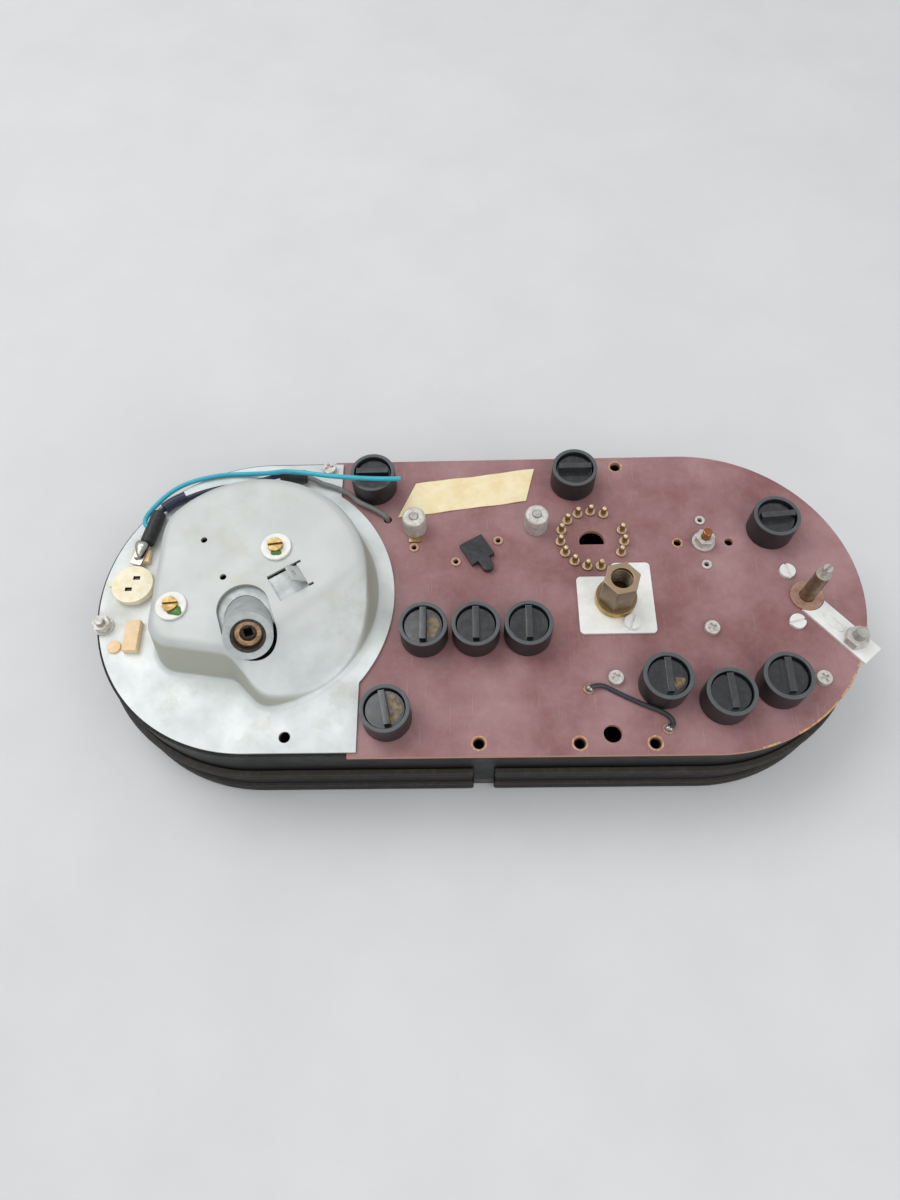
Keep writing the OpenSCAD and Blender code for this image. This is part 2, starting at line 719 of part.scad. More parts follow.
module eyelets() {
    color("#a8865a") for (p = eyelet_at) difference() {
        union() {
            bar(p, board_bottom, board_top, eyelet_bore);
            bar(p, board_top, board_top + eyelet_height, eyelet_d);
        }
        bar(p, board_bottom - 1, board_top + 1, eyelet_hole);
    }
}

module blanking_plug() {
    color("#17191c") at(plug_at) rotate([0, 0, plug_turn]) {
        translate([0, 0, board_top]) linear_extrude(plug_thick) {
            square(plug_w, center = true);
            translate([-tongue[0] / 2, -plug_w / 2 - tongue[1] + tongue[0] / 2])
                square([tongue[0], tongue[1]]);
            translate([0, -plug_w / 2 - tongue[1] + tongue[0] / 2]) circle(d = tongue[0]);
        }
        translate([0, 0, board_bottom - 1]) linear_extrude(board_thick + 1) square(plug_w / 2, center = true);
    }
}

module terminal_nuts() {
    color("#c3c6c4") for (p = terminal_at) difference() {
        union() {
            bar(p, board_top, board_top + terminal_nut_height - terminal_chamfer, terminal_nut_d);
            at(p, board_top + terminal_nut_height - terminal_chamfer)
                cylinder(d1 = terminal_nut_d, d2 = terminal_nut_d - 2 * terminal_chamfer, h = terminal_chamfer);
        }
        bar(p, board_top - 1, board_top + terminal_nut_height + 1, terminal_thread);
    }
}

module studs() {
    color("#b9a077") {
        for (p = terminal_at) bar(p, gauge_top, board_top + terminal_nut_height + terminal_tip, terminal_thread);
        bar(temperature_at, gauge_top, board_top + 7.5, terminal_thread);
        bar(right_stud_at, board_top - stud_root, board_top + right_stud_tip, right_stud_d);
        bar(left_stud_at, board_top - stud_root, cover_top + left_stud_tip, left_stud_d);
    }
}

module hex_nuts() {
    color("#c6c8c6") {
        difference() {
            bar(temperature_at, board_top, board_top + 1, 8);
            bar(temperature_at, board_top - 1, board_top + 2, terminal_thread);
        }
        hex_nut(temperature_at, board_top + 1, 6, 3, terminal_thread, 0);
        hex_nut(right_stud_at, board_top + strip_thick, 7, 3.4, right_stud_d, 10);
        difference() {
            bar(left_stud_at, cover_top, cover_top + 0.8, 7);
            bar(left_stud_at, cover_top - 1, cover_top + 2, left_stud_d);
        }
        hex_nut(left_stud_at, cover_top + 0.8, 5.5, 2.6, left_stud_d, 0);
    }
}

module union_plate() {
    color("#d2d2cc") difference() {
        translate([0, 0, board_top]) linear_extrude(strip_thick)
            offset(r = union_plate_corner) offset(delta = -union_plate_corner) {
                translate(union_plate_low) square([union_plate_w, union_plate_left_h]);
                translate(union_plate_low + [union_plate_step_x, 0])
                    square([union_plate_w - union_plate_step_x, union_plate_left_h + union_plate_step]);
            }
        bar(union_at, board_top - 1, board_top + 3, union_shank_d);
        bar(union_screw_at, board_top - 1, board_top + 3, screw_d);
    }
}

module pressure_union() {
    top = board_top + union_height;
    seat = board_top + strip_thick;
    color("#a98b55") difference() {
        union() {
            bar(union_at, gauge_top, seat, union_shank_d);
            bar(union_at, seat, seat + union_flange_h, union_flange_d);
            at(union_at, seat + union_flange_h - eps) rotate([0, 0, 12])
                cylinder(d = union_af / cos(30), h = union_height - strip_thick - union_flange_h + eps, $fn = 6);
        }
        bar(union_at, top - union_bore_depth, top + 1, union_bore);
    }
}

module cross_screws() {
    color("#c9c6bd") {
        pan_screw(cross_at[0], cover_top, cross_head_d, screw_grip + cover_thick);
        for (i = [1:3]) pan_screw(cross_at[i], board_top, cross_head_d, screw_grip);
    }
}

module slotted_screws() {
    color("#cfcdc6") {
        slot_screw(dimmer_screw_at[0], board_top, slot_head_d, screw_grip, 100);
        slot_screw(dimmer_screw_at[1], board_top, slot_head_d, screw_grip, 15);
        slot_screw(union_screw_at, board_top + strip_thick, slot_head_d, screw_grip + strip_thick, 70);
    }
}

module jumper_wire() {
    color("#3a3d42") wire(jumper_route, jumper_d, jumper_start);
}

// Lamps

module lamp_collars() {
    color("#16181a") for (l = lamps) difference() {
        bar(l[0], board_top, collar_top, collar_d);
        bar(l[0], board_top - 1, collar_top + 1, collar_bore);
    }
}

module bulb(p, z) {
    bar(p, z - bulb_length + bulb_d / 2, z, bulb_d);
    at(p, z - bulb_length + bulb_d / 2) sphere(d = bulb_d, $fn = 24);
}

module lamp_holder(i) {
    p = lamps[i][0];
    face = collar_top - holder_sink;
    stem_z = board_bottom - stem_length;
    color("#101214") {
        bar(p, board_top + seat_gap, face, holder_d);
        bar(p, stem_z, board_top + seat_gap, stem_d);
        at(p, face) rotate([0, 0, lamps[i][1]])
            translate([-grip_length / 2, -grip_w / 2, -eps])
                cube([grip_length, grip_w, holder_sink + grip_rise]);
    }
    color("#e8e4d8") bulb(p, stem_z - seat_gap);
}

// Speedometer cover and its fittings

// Turned cup with a draft and a rounded top edge
module cup(r, h, s) {
    top_r = r - can_draft;
    arc = [for (a = [0:10:90]) [top_r - s + s * cos(a), h - s + s * sin(a)]];
    rotate_extrude($fn = 96) polygon(concat([[0, -cover_thick], [r, -cover_thick], [r, 0]], arc, [[0, h]]));
}

module can_solid(inset) {
    r = can_r - inset;
    h = can_height - inset;
    at(can_centre, cover_top) difference() {
        cup(r, h, can_edge_r);
        flat_cut(h, inset);
        slope_cut(h, inset);
        step_cut(h, inset);
    }
}

// Space above the can's sloping side, with its bend
module slope_cut(h, inset) {
    bend = can_slope_r - inset;
    start = can_slope_from - can_slope_r * tan(can_slope / 2);
    arc = [for (i = [0:can_arc_parts]) let (a = can_slope * i / can_arc_parts)
        [start + bend * sin(a), h - bend * (1 - cos(a))]];
    last = arc[can_arc_parts] + 4 * can_r * [cos(can_slope), -sin(can_slope)];
    rotate([0, 0, can_slope_turn]) rotate([90, 0, 0]) linear_extrude(4 * can_r, center = true)
        polygon(concat(arc, [last, [last[0], h + 1], [start, h + 1]]));
}

// Heights and insets up the can's straight sides
function side_profile(h) = concat([[-cover_thick - 1, 0]],
    [for (a = [0:30:90]) [h - can_edge_r * (1 - sin(a)), can_draft + can_edge_r * (1 - cos(a))]],
    [[h + 1, can_draft + 2 * can_edge_r]]);

// Space beyond the can's flat side
module flat_cut(h, inset) {
    wall = [for (q = side_profile(h)) [q[1] + inset - can_flat, q[0]]];
    far = -4 * can_r;
    rotate([90, 0, 0]) linear_extrude(4 * can_r, center = true)
        polygon(concat([[far, wall[0][1]]], wall, [[far, wall[len(wall) - 1][1]]]));
}

// Outline of the space below the can's step, grown by an inset
function heading(turn) = [cos(turn), sin(turn)];
function step_ring(inset) = let (u = can_step_turns, half = (u[1] - u[0]) / 2,
    centre = can_step + can_step_r / sin(half) * heading(u[0] + half),
    arc = [for (i = [0:can_arc_parts])
        centre + (can_step_r + inset) * heading(u[0] - 90 - (180 - 2 * half) * i / can_arc_parts)],
    first = arc[0] + 3 * can_r * heading(u[0]),
    last = arc[can_arc_parts] + 3 * can_r * heading(u[1]))
    concat(arc, [last, [first[0], last[1]], first]);

// Space below the can's step
module step_cut(h, inset) {
    p = side_profile(h);
    n = can_arc_parts + 4;
    points = [for (q = p, v = step_ring(q[1] + inset)) [v[0], v[1], q[0]]];
    walls = [for (k = [0:len(p) - 2], i = [0:n - 1]) let (j = (i + 1) % n)
        [k * n + i, k * n + j, (k + 1) * n + j, (k + 1) * n + i]];
    foot = [for (i = [0:n - 1]) n - 1 - i];
    head = [for (i = [0:n - 1]) (len(p) - 1) * n + i];
    polyhedron(points, concat([foot], walls, [head]));
}

module port_opening() {
    direction = [sin(port_turn), -cos(port_turn)];
    near = axis_at + port_slot[0] * direction;
    far = axis_at + port_slot[1] * direction;
    w = port_d + port_room;
    for (p = [near, far]) bar(p, cover_top + 2, can_top + 1, w);
    at(near, cover_top + 2) rotate([0, 0, port_turn])
        translate([-w / 2, -norm(far - near), 0]) cube([w, norm(far - near), can_height]);
}

module speedometer_cover() {
    color("#c6c9c7") {
        difference() {
            union() {
                translate([0, 0, board_top]) linear_extrude(cover_thick) intersection() {
                    oblong(cover_setback);
                    cover_area(0);
                }
                can_solid(0);
            }
            can_solid(cover_thick);
            port_opening();
            for (p = cover_screw_at) bar(p, can_top - 3, can_top + 1, screw_d + 0.4);
            for (p = cover_pinholes) bar(p, can_top - 3, can_top + 1, cover_pinhole_d);
            at(lanced_at, can_top - 3) rotate([0, 0, lanced_turn]) linear_extrude(5)
                square(lanced_w, center = true);
            bar(cross_at[0], board_top - 1, cover_top + 1, screw_d);
            bar(cover_hole_at, board_top - 1, cover_top + 1, board_hole_d);
            bar(left_stud_at, board_top - 1, cover_top + 1, left_stud_d);
            bar(cream_at, board_top - 1, cover_top + 1, stem_hole);
            at(clip_at, board_top - 1) linear_extrude(3)
                square([clip_size[0] - 2, clip_size[1] - 2], center = true);
            bar(clip_rivet_at, board_top - 1, cover_top + 1, screw_d);
        }
        at(lanced_at, can_top - cover_thick) rotate([0, 0, lanced_turn]) translate([lanced_w / 2, 0, 0])
            rotate([0, -20, 0]) difference() {
                translate([-lanced_tab[1] / 2, -lanced_tab[0] / 2, 0])
                    cube([lanced_tab[1], lanced_tab[0], lanced_tab[2] + cover_thick]);
                translate([0, 0, lanced_tab[2] - 0.6]) rotate([0, 90, 0])
                    cylinder(d = 1.8, h = 4, center = true);
            }
    }
}

module cover_screws() {
    color("#b0904f") for (i = [0, 1])
        slot_screw(cover_screw_at[i], can_top + 1.2, 5, 11, i == 0 ? 8 : 5);
}

module cover_washers() {
    color("#ece9e0") for (p = cover_screw_at) difference() {
        bar(p, can_top, can_top + 1.2, 10);
        bar(p, can_top - 1, can_top + 2, screw_d);
    }
}

module cover_lamp_holder() {
    stem_z = board_top - stem_length;
    color("#e4dab0") {
        difference() {
            bar(cream_at, cover_top + seat_gap, cover_top + cream_height, cream_d);
            for (y = [-2, 2.4]) at(cream_at + [y / 2, y], cover_top + cream_height)
                cube([2.4, 1.4, 1.6], center = true);
        }
        bar(cream_at, stem_z, cover_top + seat_gap, stem_d);
        at(cream_at + [-cream_d / 2 - 0.8, -0.8], cover_top + seat_gap) cube([2.4, 1.6, cream_height]);
    }
    color("#e8e4d8") bulb(cream_at, stem_z - seat_gap);
}

module cream_clips() {
    color("#e8c79c") {
        at(clip_at, cover_top) {
            translate([-clip_size[0] / 2, -clip_size[1] / 2, 0]) cube(clip_size);
            translate([0, 0, -2.5]) linear_extrude(2.5)
                square([clip_size[0] - 2, clip_size[1] - 2], center = true);
        }
        bar(clip_rivet_at, board_top, cover_top, screw_d);
        bar(clip_rivet_at, cover_top, cover_top + 0.9, 4.6);
        at(tag_base_at, cover_top) translate([-tag_base_size[0] / 2, -tag_base_size[1] / 2, 0])
            cube(tag_base_size);
    }
}

module lamp_tag() {
    tag_z = cover_top + tag_base_size[2];
    color("#c9cbc6") {
        at(tag_base_at, tag_z) rotate([0, 0, tag_turn]) translate([-tag_size[0] / 2, -tag_size[1] / 2, 0])
            cube(tag_size);
        at(tag_base_at + solder_offset, tag_z) cylinder(r1 = solder_r, r2 = solder_r / 2, h = solder_height);
    }
}

module sleeve(a, b) {
    v = b - a;
    at(left_end, board_top) translate(a) rotate([0, 0, atan2(v[1], v[0])]) rotate([0, 90, 0])
        cylinder(d = sleeve_d, h = norm(v));
}

module lead_sleeves() {
    color("#1a1a1c") for (s = sleeve_ends) sleeve(s[0], s[1]);
}

module loose_wire() {
    color("#2fa8be") wire(loose_wire_route, loose_wire_d, left_end);
}

module blue_lead() {
    color("#252a4a") wire(blue_lead_route, lead_d, left_end);
}

module grey_lead() {
    color("#6f7471") wire(grey_lead_route, lead_d, left_end);
}

// Speedometer movement

module movement_frame() {
    boss_start = 11;
    web = [9, 13, 14];
    color("#8f9598") difference() {
        union() {
            bar(axis_at, frame_z, frame_z + frame_thick, 2 * frame_r);
            for (p = cover_screw_at) bar(p, frame_z, can_top - cover_thick, 7);
            along_port(boss_start) cylinder(d = port_d, h = port_reach - boss_start);
            at(axis_at, frame_z) rotate([0, 0, port_turn]) translate([-web[0] / 2, -9 - web[1], 0])
                cube([web[0], web[1], gear_z - frame_z + 14]);
            for (x = [arm_left_x, arm_right_x]) at(axis_at + [x, counter_y - arm_depth / 2], counter_z - 3.5)
                cube([arm_w, arm_depth, frame_z - counter_z + 3.5 + eps]);
            for (y = [3.2, counter_y - 6.8]) at(axis_at + [shaft_x - 2, y], worm_z - 2)
                cube([4, 2, frame_z - worm_z + 2 + eps]);
        }
        bar(axis_at, frame_z - 1, frame_z + frame_thick + 1, arbor_d + 2 * run_gap);
        along_port(-1) cylinder(d = spindle_d + 2 * run_gap, h = port_reach + 3);
        along_port(port_reach - bush_length) cylinder(d = bush_d, h = bush_length + 1);
        along_port(0) cylinder(r = cone_outer + 1.2, h = boss_start - 2);
        at(axis_at + [shaft_x - wheel_r + 0.4, -wheel_w / 2 - 0.4], frame_z - 1)
            cube([2 * wheel_r - 0.8, wheel_w + 0.8, frame_thick + 2]);
        at(axis_at + [shaft_x, 10], worm_z) rotate([90, 0, 0]) cylinder(d = shaft_d + 2 * run_gap, h = 50);
        at(axis_at + [arm_left_x - 1, counter_y], counter_z) rotate([0, 90, 0]) cylinder(d = axle_d, h = 50);
        for (p = cover_screw_at) bar(p, can_top - 12, can_top + 1, screw_d);
        for (s = [-1, 1]) bar(axis_at + [s * bridge_leg[0], bridge_leg[1]], frame_z - 1, frame_z + frame_thick + 1,
            screw_d);
    }
}

module staff_bridge() {
    w = bridge_leg[0];
    y = bridge_leg[1];
    color("#b7a05e") difference() {
        union() {
            at(axis_at, bridge_z) linear_extrude(bridge_thick) polygon([[-w - 3, y + 2.6], [w + 3, y + 2.6],
                [w + 3, y - 3], [4, -4], [-4, -4], [-w - 3, y - 3]]);
            for (s = [-1, 1]) {
                bar(axis_at + [s * w, y], bridge_z, frame_z, bridge_leg_d);
                bar(axis_at + [s * w, y], frame_z, frame_z + frame_thick, screw_d);
            }
            bar(axis_at + [0, spring_outer], bridge_z, spring_z + spring_height, 1.6);
        }
        bar(axis_at, bridge_z - 1, bridge_z + bridge_thick + 1, staff_d + 2 * run_gap);
    }
}

module port_bush() {
    color("#b0875c") along_port(port_reach - bush_length) difference() {
        cylinder(d = bush_d, h = bush_length);
        translate([0, 0, -1]) cylinder(d = spindle_d + 2 * run_gap, h = bush_length + 2);
        translate([0, 0, bush_length - seat_depth]) cylinder(d = seat_d, h = seat_depth + 1);
    }
}

module input_spindle() {
    end = port_reach - socket_depth;
    color("#6d675e") difference() {
        union() {
            along_port() rotate([180, 0, 0]) bevel_gear(90 + 180 / bevel_teeth);
            along_port(cone_outer * cos(cone_angle))
                cylinder(d = spindle_d, h = end - cone_outer * cos(cone_angle));
        }
        along_port(end - 8) translate([-socket_w / 2, -socket_w / 2, 0]) cube([socket_w, socket_w, 9]);
    }
}

module rotor_arbor() {
    color("#a9adb0") difference() {
        union() {
            at(axis_at, gear_z) bevel_gear(port_turn - 90);
            bar(axis_at, magnet_z, gear_z - cone_outer * cos(cone_angle), arbor_d);
            at(axis_at, worm_z) worm(worm_lead, worm_throw, 2.5);
        }
        bar(axis_at, magnet_z - 1, magnet_z + pivot_length - 0.4, pivot_d + 2 * run_gap);
    }
}

module rotor_magnet() {
    color("#5b5d60") difference() {
        bar(axis_at, magnet_z, magnet_z + magnet_height, magnet_d);
        bar(axis_at, magnet_z - 1, magnet_z + magnet_height + 1, arbor_d);
    }
}

module speed_cup() {
    color("#d3d6d8") difference() {
        bar(axis_at, cup_z, cup_z + cup_height, 2 * (cup_r + cup_wall));
        bar(axis_at, cup_z + cup_wall, cup_z + cup_height + 1, 2 * cup_r);
        bar(axis_at, cup_z - 1, cup_z + cup_wall + 1, staff_d);
    }
}

module pointer_staff() {
    color("#9ea2a5") {
        bar(axis_at, needle_z, cup_z + cup_wall, staff_d);
        bar(axis_at, cup_z + cup_wall - eps, magnet_z + pivot_length - 1, pivot_d);
    }
}

function spiral(turn, offset) =
    let (r = spring_inner + (spring_outer - spring_inner) * turn / spring_turns + offset)
    r * [cos(360 * turn + 90), sin(360 * turn + 90)];

module hairspring() {
    steps = 20 * spring_turns;
    outer = [for (i = [0:steps]) spiral(i / 20, spring_wire / 2)];
    inner = [for (i = [steps:-1:0]) spiral(i / 20, -spring_wire / 2)];
    color("#b59a5a") difference() {
        union() {
            at(axis_at, spring_z) linear_extrude(spring_height) polygon(concat(outer, inner));
            bar(axis_at, spring_z, spring_z + spring_height, 2 * spring_inner);
        }
        bar(axis_at, spring_z - 1, spring_z + spring_height + 1, staff_d + 2 * run_gap);
        bar(axis_at + [0, spring_outer], spring_z - 1, spring_z + spring_height + 1, 1.6);
    }
}

module needle(p, reach, tail, w, hub, staff, turn) {
    difference() {
        union() {
            at(p, needle_z) rotate([0, 0, turn]) linear_extrude(needle_thick)
                polygon([[-tail, -w], [-tail, w], [reach, w / 4], [reach, -w / 4]]);
            bar(p, needle_z, needle_z + hub_height, 2 * hub);
        }
        bar(p, needle_z - 1, needle_z + hub_height + 1, staff);
    }
}

module speed_needle() {
    color("#d8562c") needle(axis_at, needle_reach, 10, 1.4, hub_r, staff_d, speed_zero);
}

// Odometer

module odometer_shaft() {
    length = -counter_y + 12.4;
    color("#a9adb0") at(axis_at + [shaft_x, 0], worm_z) {
        translate([0, 5.4, 0]) rotate([90, 0, 0]) cylinder(d = shaft_d, h = length);
        translate([0, wheel_w / 2, 0]) rotate([90, 0, 0]) linear_extrude(wheel_w)
            rotate(180) polygon(wheel_points(wheel_teeth, wheel_r + tooth_engage));
        translate([0, counter_y, 0]) rotate([90, 0, 0]) rotate([0, 0, -90])
            worm(counter_lead, counter_throw, 2.5);
    }
}

module odometer_axle() {
    color("#a9adb0") at(axis_at + [arm_left_x, counter_y], counter_z) rotate([0, 90, 0])
        cylinder(d = axle_d, h = arm_right_x + arm_w - arm_left_x);
}

module drum(x, w) {
    at(axis_at + [x, counter_y], counter_z) rotate([0, 90, 0]) difference() {
        cylinder(r = drum_r, h = w);
        translate([0, 0, -1]) cylinder(d = axle_d + 2 * run_gap, h = w + 2);
    }
}

module odometer_first_drum() {
    hub_end = shaft_x + wheel_w / 2;
    color("#e9e6dc") difference() {
        union() {
            drum(drum_right - drum_w, drum_w);
            at(axis_at + [drum_right - eps, counter_y], counter_z) rotate([0, 90, 0])
                cylinder(r = 3, h = hub_end - drum_right + eps);
            at(axis_at + [shaft_x - wheel_w / 2, counter_y], counter_z) rotate([0, 90, 0]) linear_extrude(wheel_w)
                rotate(180) polygon(wheel_points(counter_teeth, counter_r + tooth_engage));
        }
        at(axis_at + [drum_right - drum_w - 1, counter_y], counter_z) rotate([0, 90, 0])
            cylinder(d = axle_d + 2 * run_gap, h = hub_end - drum_right + drum_w + 2);
    }
}

module odometer_drums() {
    color("#1a1c1e") for (i = [2:drum_count]) drum(drum_right - i * drum_w - (i - 1) * drum_gap, drum_w);
}

// Gauges and dimmer

module gauge_bodies() {
    color("#9a9c98") {
        difference() {
            union() {
                bar(fuel_at, gauge_z, gauge_top, 2 * fuel_r);
                at(fuel_at, gauge_top - fuel_ear[2]) translate([-fuel_ear[0] / 2, -fuel_ear[1] / 2, 0])
                    cube(fuel_ear);
            }
            bar(fuel_at, gauge_z - 1, gauge_z + 6, small_staff_d + 2 * run_gap);
        }
        difference() {
            bar(union_at, gauge_z, gauge_top, 2 * pressure_r);
            bar(union_at, gauge_z - 1, gauge_z + 6, small_staff_d + 2 * run_gap);
            bar(union_screw_at, board_top - screw_grip, gauge_top + 1, screw_d);
        }
        difference() {
            bar(temperature_at, gauge_z, gauge_top, 2 * temperature_r);
            bar(temperature_at, gauge_z - 1, gauge_z + 6, small_staff_d + 2 * run_gap);
        }
    }
}

module gauge_needle(p, turn) {
    color("#d8562c") {
        needle(p, small_needle[0], 4, small_needle[1] / 2, small_hub_r, small_staff_d, turn);
        bar(p, needle_z, gauge_z + 5.6, small_staff_d);
    }
}

module dimmer_body() {
    color("#d9d2c2") difference() {
        bar(dimmer_at, dimmer_body_z, dimmer_top, 2 * dimmer_body_r);
        bar(dimmer_at, dimmer_body_z + dimmer_cup_wall, dimmer_top - 3.4, 2 * (dimmer_body_r - dimmer_cup_wall));
        bar(dimmer_at, dimmer_body_z - 1, dimmer_top + 1, dimmer_d + 2 * run_gap);
        for (p = dimmer_screw_at) bar(p, board_top - screw_grip, dimmer_top + 1, screw_d);
    }
}

module dimmer_spindle() {
    shoulder = board_top + dimmer_shoulder;
    wiper_z = dimmer_body_z + dimmer_cup_wall + 0.6;
    color("#8c7356") {
        bar(dimmer_at, dimmer_body_z + 0.2, shoulder, dimmer_d);
        difference() {
            bar(dimmer_at, shoulder - eps, shoulder + dimmer_tip, dimmer_tip_d);
            at(dimmer_at, shoulder + dimmer_tip) rotate([0, 0, 40])
                cube([2 * dimmer_tip_d, dimmer_slot[0], 2 * dimmer_slot[1]], center = true);
        }
        at(dimmer_at, wiper_z) translate([0, -wiper_size[1] / 2, 0]) cube(wiper_size);
    }
}

module spindle_washer() {
    color("#b58a6a") difference() {
        bar(dimmer_at, board_top, board_top + dimmer_washer_thick, dimmer_washer_d);
        bar(dimmer_at, board_top - 1, board_top + 2, dimmer_d + 2 * run_gap);
    }
}

module earth_strap() {
    color("#d6d6d0") difference() {
        at(strap_start, board_top) rotate([0, 0, strap_turn]) translate([-strap_tuck, -strap_w / 2, 0])
            cube([strap_length + strap_tuck, strap_w, strip_thick]);
        bar(dimmer_at, board_top - 1, board_top + 3, dimmer_washer_d + 0.4);
        at(strap_start, board_top + strip_thick) rotate([0, 0, strap_turn])
            translate([strap_slot_at, 0, 0]) cube([strap_slot[0], strap_slot[1], 0.8], center = true);
        bar(right_stud_at, board_top - 1, board_top + 3, right_stud_d);
    }
}

housing();
bezel();
lens();
seal_strip();
dial_plate();
circuit_board();
speedometer_cover();
movement_frame();
staff_bridge();
port_bush();
input_spindle();
rotor_arbor();
rotor_magnet();
speed_cup();
pointer_staff();
hairspring();
speed_needle();
odometer_axle();
odometer_shaft();
odometer_first_drum();
odometer_drums();
cover_screws();
cover_washers();
cover_lamp_holder();
lamp_tag();
lead_sleeves();
loose_wire();
blue_lead();
grey_lead();
cream_clips();
lamp_collars();
lamp_holder(0);  // lamp_holder_1
lamp_holder(1);  // lamp_holder_2
lamp_holder(2);  // lamp_holder_3
lamp_holder(3);  // lamp_holder_4
lamp_holder(4);  // lamp_holder_5
lamp_holder(5);  // lamp_holder_6
lamp_holder(6);  // lamp_holder_7
lamp_holder(7);  // lamp_holder_8
lamp_holder(8);  // lamp_holder_9
lamp_holder(9);  // lamp_holder_10
terminal_nuts();
studs();
blanking_plug();
eyelets();
connector_pins();
union_plate();
pressure_union();
hex_nuts();
cross_screws();
slotted_screws();
dimmer_spindle();
dimmer_body();
spindle_washer();
earth_strap();
jumper_wire();
gauge_bodies();
gauge_needle(fuel_at, gauge_zero);  // fuel_needle
gauge_needle(union_at, gauge_zero);  // pressure_needle
gauge_needle(temperature_at, gauge_zero);  // temperature_needle
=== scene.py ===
"""Looks of an oblong instrument cluster seen from its rear: finishes, sheet cover, wires, tape and dial print."""

import json
import math

import bmesh
import bpy
from mathutils import Matrix, Vector, geometry


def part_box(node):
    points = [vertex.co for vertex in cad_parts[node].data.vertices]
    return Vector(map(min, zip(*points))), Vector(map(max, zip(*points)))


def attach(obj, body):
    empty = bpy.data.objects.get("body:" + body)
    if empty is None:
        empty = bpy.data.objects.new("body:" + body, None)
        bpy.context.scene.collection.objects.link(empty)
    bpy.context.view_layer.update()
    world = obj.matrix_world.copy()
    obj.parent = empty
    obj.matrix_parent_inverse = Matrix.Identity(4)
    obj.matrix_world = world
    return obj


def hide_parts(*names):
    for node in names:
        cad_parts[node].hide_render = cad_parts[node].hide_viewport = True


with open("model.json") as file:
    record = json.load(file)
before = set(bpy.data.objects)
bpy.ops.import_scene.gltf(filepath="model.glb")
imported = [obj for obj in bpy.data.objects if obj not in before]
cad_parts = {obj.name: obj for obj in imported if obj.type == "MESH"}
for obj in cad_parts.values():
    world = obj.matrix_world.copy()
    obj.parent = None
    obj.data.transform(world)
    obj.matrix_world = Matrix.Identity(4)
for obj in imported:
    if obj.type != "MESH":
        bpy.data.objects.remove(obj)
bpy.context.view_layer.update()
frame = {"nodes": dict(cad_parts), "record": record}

bl_info = {
    "name": "Instrument cluster looks",
    "version": (1, 0, 0),
    "blender": (4, 5, 0),
    "location": "View3D > Sidebar > Cluster",
    "description": "Finishes, sheet cover, wires, tape and dial print of an oblong instrument cluster",
    "category": "Object",
}

MM = 0.001
ROOT = "cluster"

# Places in millimetres, as in the part's source
BOARD_TOP = 36.0
COVER_TOP = 37.0
CAN_TOP = 56.5
HALF_WIDTH = 57.3
ARC_X = 75.7
AXIS_X = -80.0
PORT_TURN = math.radians(19.3)
PORT_ROOM = 8.5
PORT_ENDS = (23.9, 14.3)
PORT_TILT = math.radians(45)
PORT_REACH = 38.9
GEAR_Z = 34.5
COVER_SCREWS = ((-66.4, 8.5), (-98.4, -12.8))
SCREW_ROOM = 1.7
PINHOLES = ((-91.1, 12.0), (-83.0, -2.2))
PIN_ROOM = 1.1
CREAM_LAMP = (-120.4, 4.6)
LANCED = (-61.5, -4.2)
LANCED_TURN = math.radians(31)
LANCED_WIDTH = 10.5
STRAP_RIB = Vector((120.1, -12.7))
STRAP_TURN = math.radians(-50.2)

# Centres of the small gauges
FUEL = (0.0, 27.6)
PRESSURE = (47.6, -3.0)
TEMPERATURE = (81.0, 19.8)

# Round holes: place and radius. In the plate: corner screw, low edge, left stud, lamp
PLATE_HOLES = ((-54.3, HALF_WIDTH - 4.1, 1.5), (-62.7, 6.7 - HALF_WIDTH, 1.9), (-128.6, -10.4, 1.5),
               (*CREAM_LAMP, 4.55))
BOARD_HOLES = ((-0.2, -53.0, 1.9), (32.0, -53.3, 1.9), (56.0, -53.5, 1.9), (52.8, 53.1, 1.9), (71.9, 19.8, 1.2))

# Speed dial: first angle and sweep in degrees
DIAL_START = -35
DIAL_SWEEP = 250

# The photograph's camera: focal length and picture height in pixels, place in millimetres from the board's top,
# and its pitch, roll and yaw in degrees
FOCAL_PIXELS = 830
PICTURE_PIXELS = 1200
CAMERA_PLACE = (-2.5, -130.5, 257.9)
CAMERA_TURNS = (63.42, -3.56, -3.01)

# The can, round its own centre
CAN_CENTRE = (-74.5, -0.5)
CAN_RADIUS = 40.4
CAN_FLAT = 34.0
CAN_STEP = Vector((-5.6, -30.4))
CAN_STEP_TURNS = (math.radians(171.4), math.radians(313.9))
SLOPE_FROM = 23.3
SLOPE_ANGLE = math.radians(48)
SLOPE_TURN = math.radians(-49)


def linear(code, alpha=1.0):
    """An sRGB hex value as linear RGBA."""
    values = [int(code[i:i + 2], 16) / 255 for i in (1, 3, 5)]
    return [v / 12.92 if v <= 0.04045 else ((v + 0.055) / 1.055) ** 2.4 for v in values] + [alpha]


def add(tree, kind, settings=None, **inputs):
    """Adds a node; an input that is another node's socket is linked, any other is set."""
    node = tree.nodes.new(kind)
    for name, value in (settings or {}).items():
        setattr(node, name, value)
    for name, value in inputs.items():
        key = int(name[1:]) if name[1:].isdigit() else name.replace("_", " ")
        socket = node.inputs[key]
        if isinstance(value, bpy.types.NodeSocket):
            tree.links.new(value, socket)
        else:
            socket.default_value = value
    return node


# Finishes

# What they share: sizes in millimetres and colours
BAND_END = 0.3
STAIN_SIZE = 22
SCRATCH_SIZE = 1 / 2.6
SCRATCH_COLOUR = "#C9C6BE"
DUST_SIZE = 1 / 0.42
DUST_COLOUR = "#A79F92"


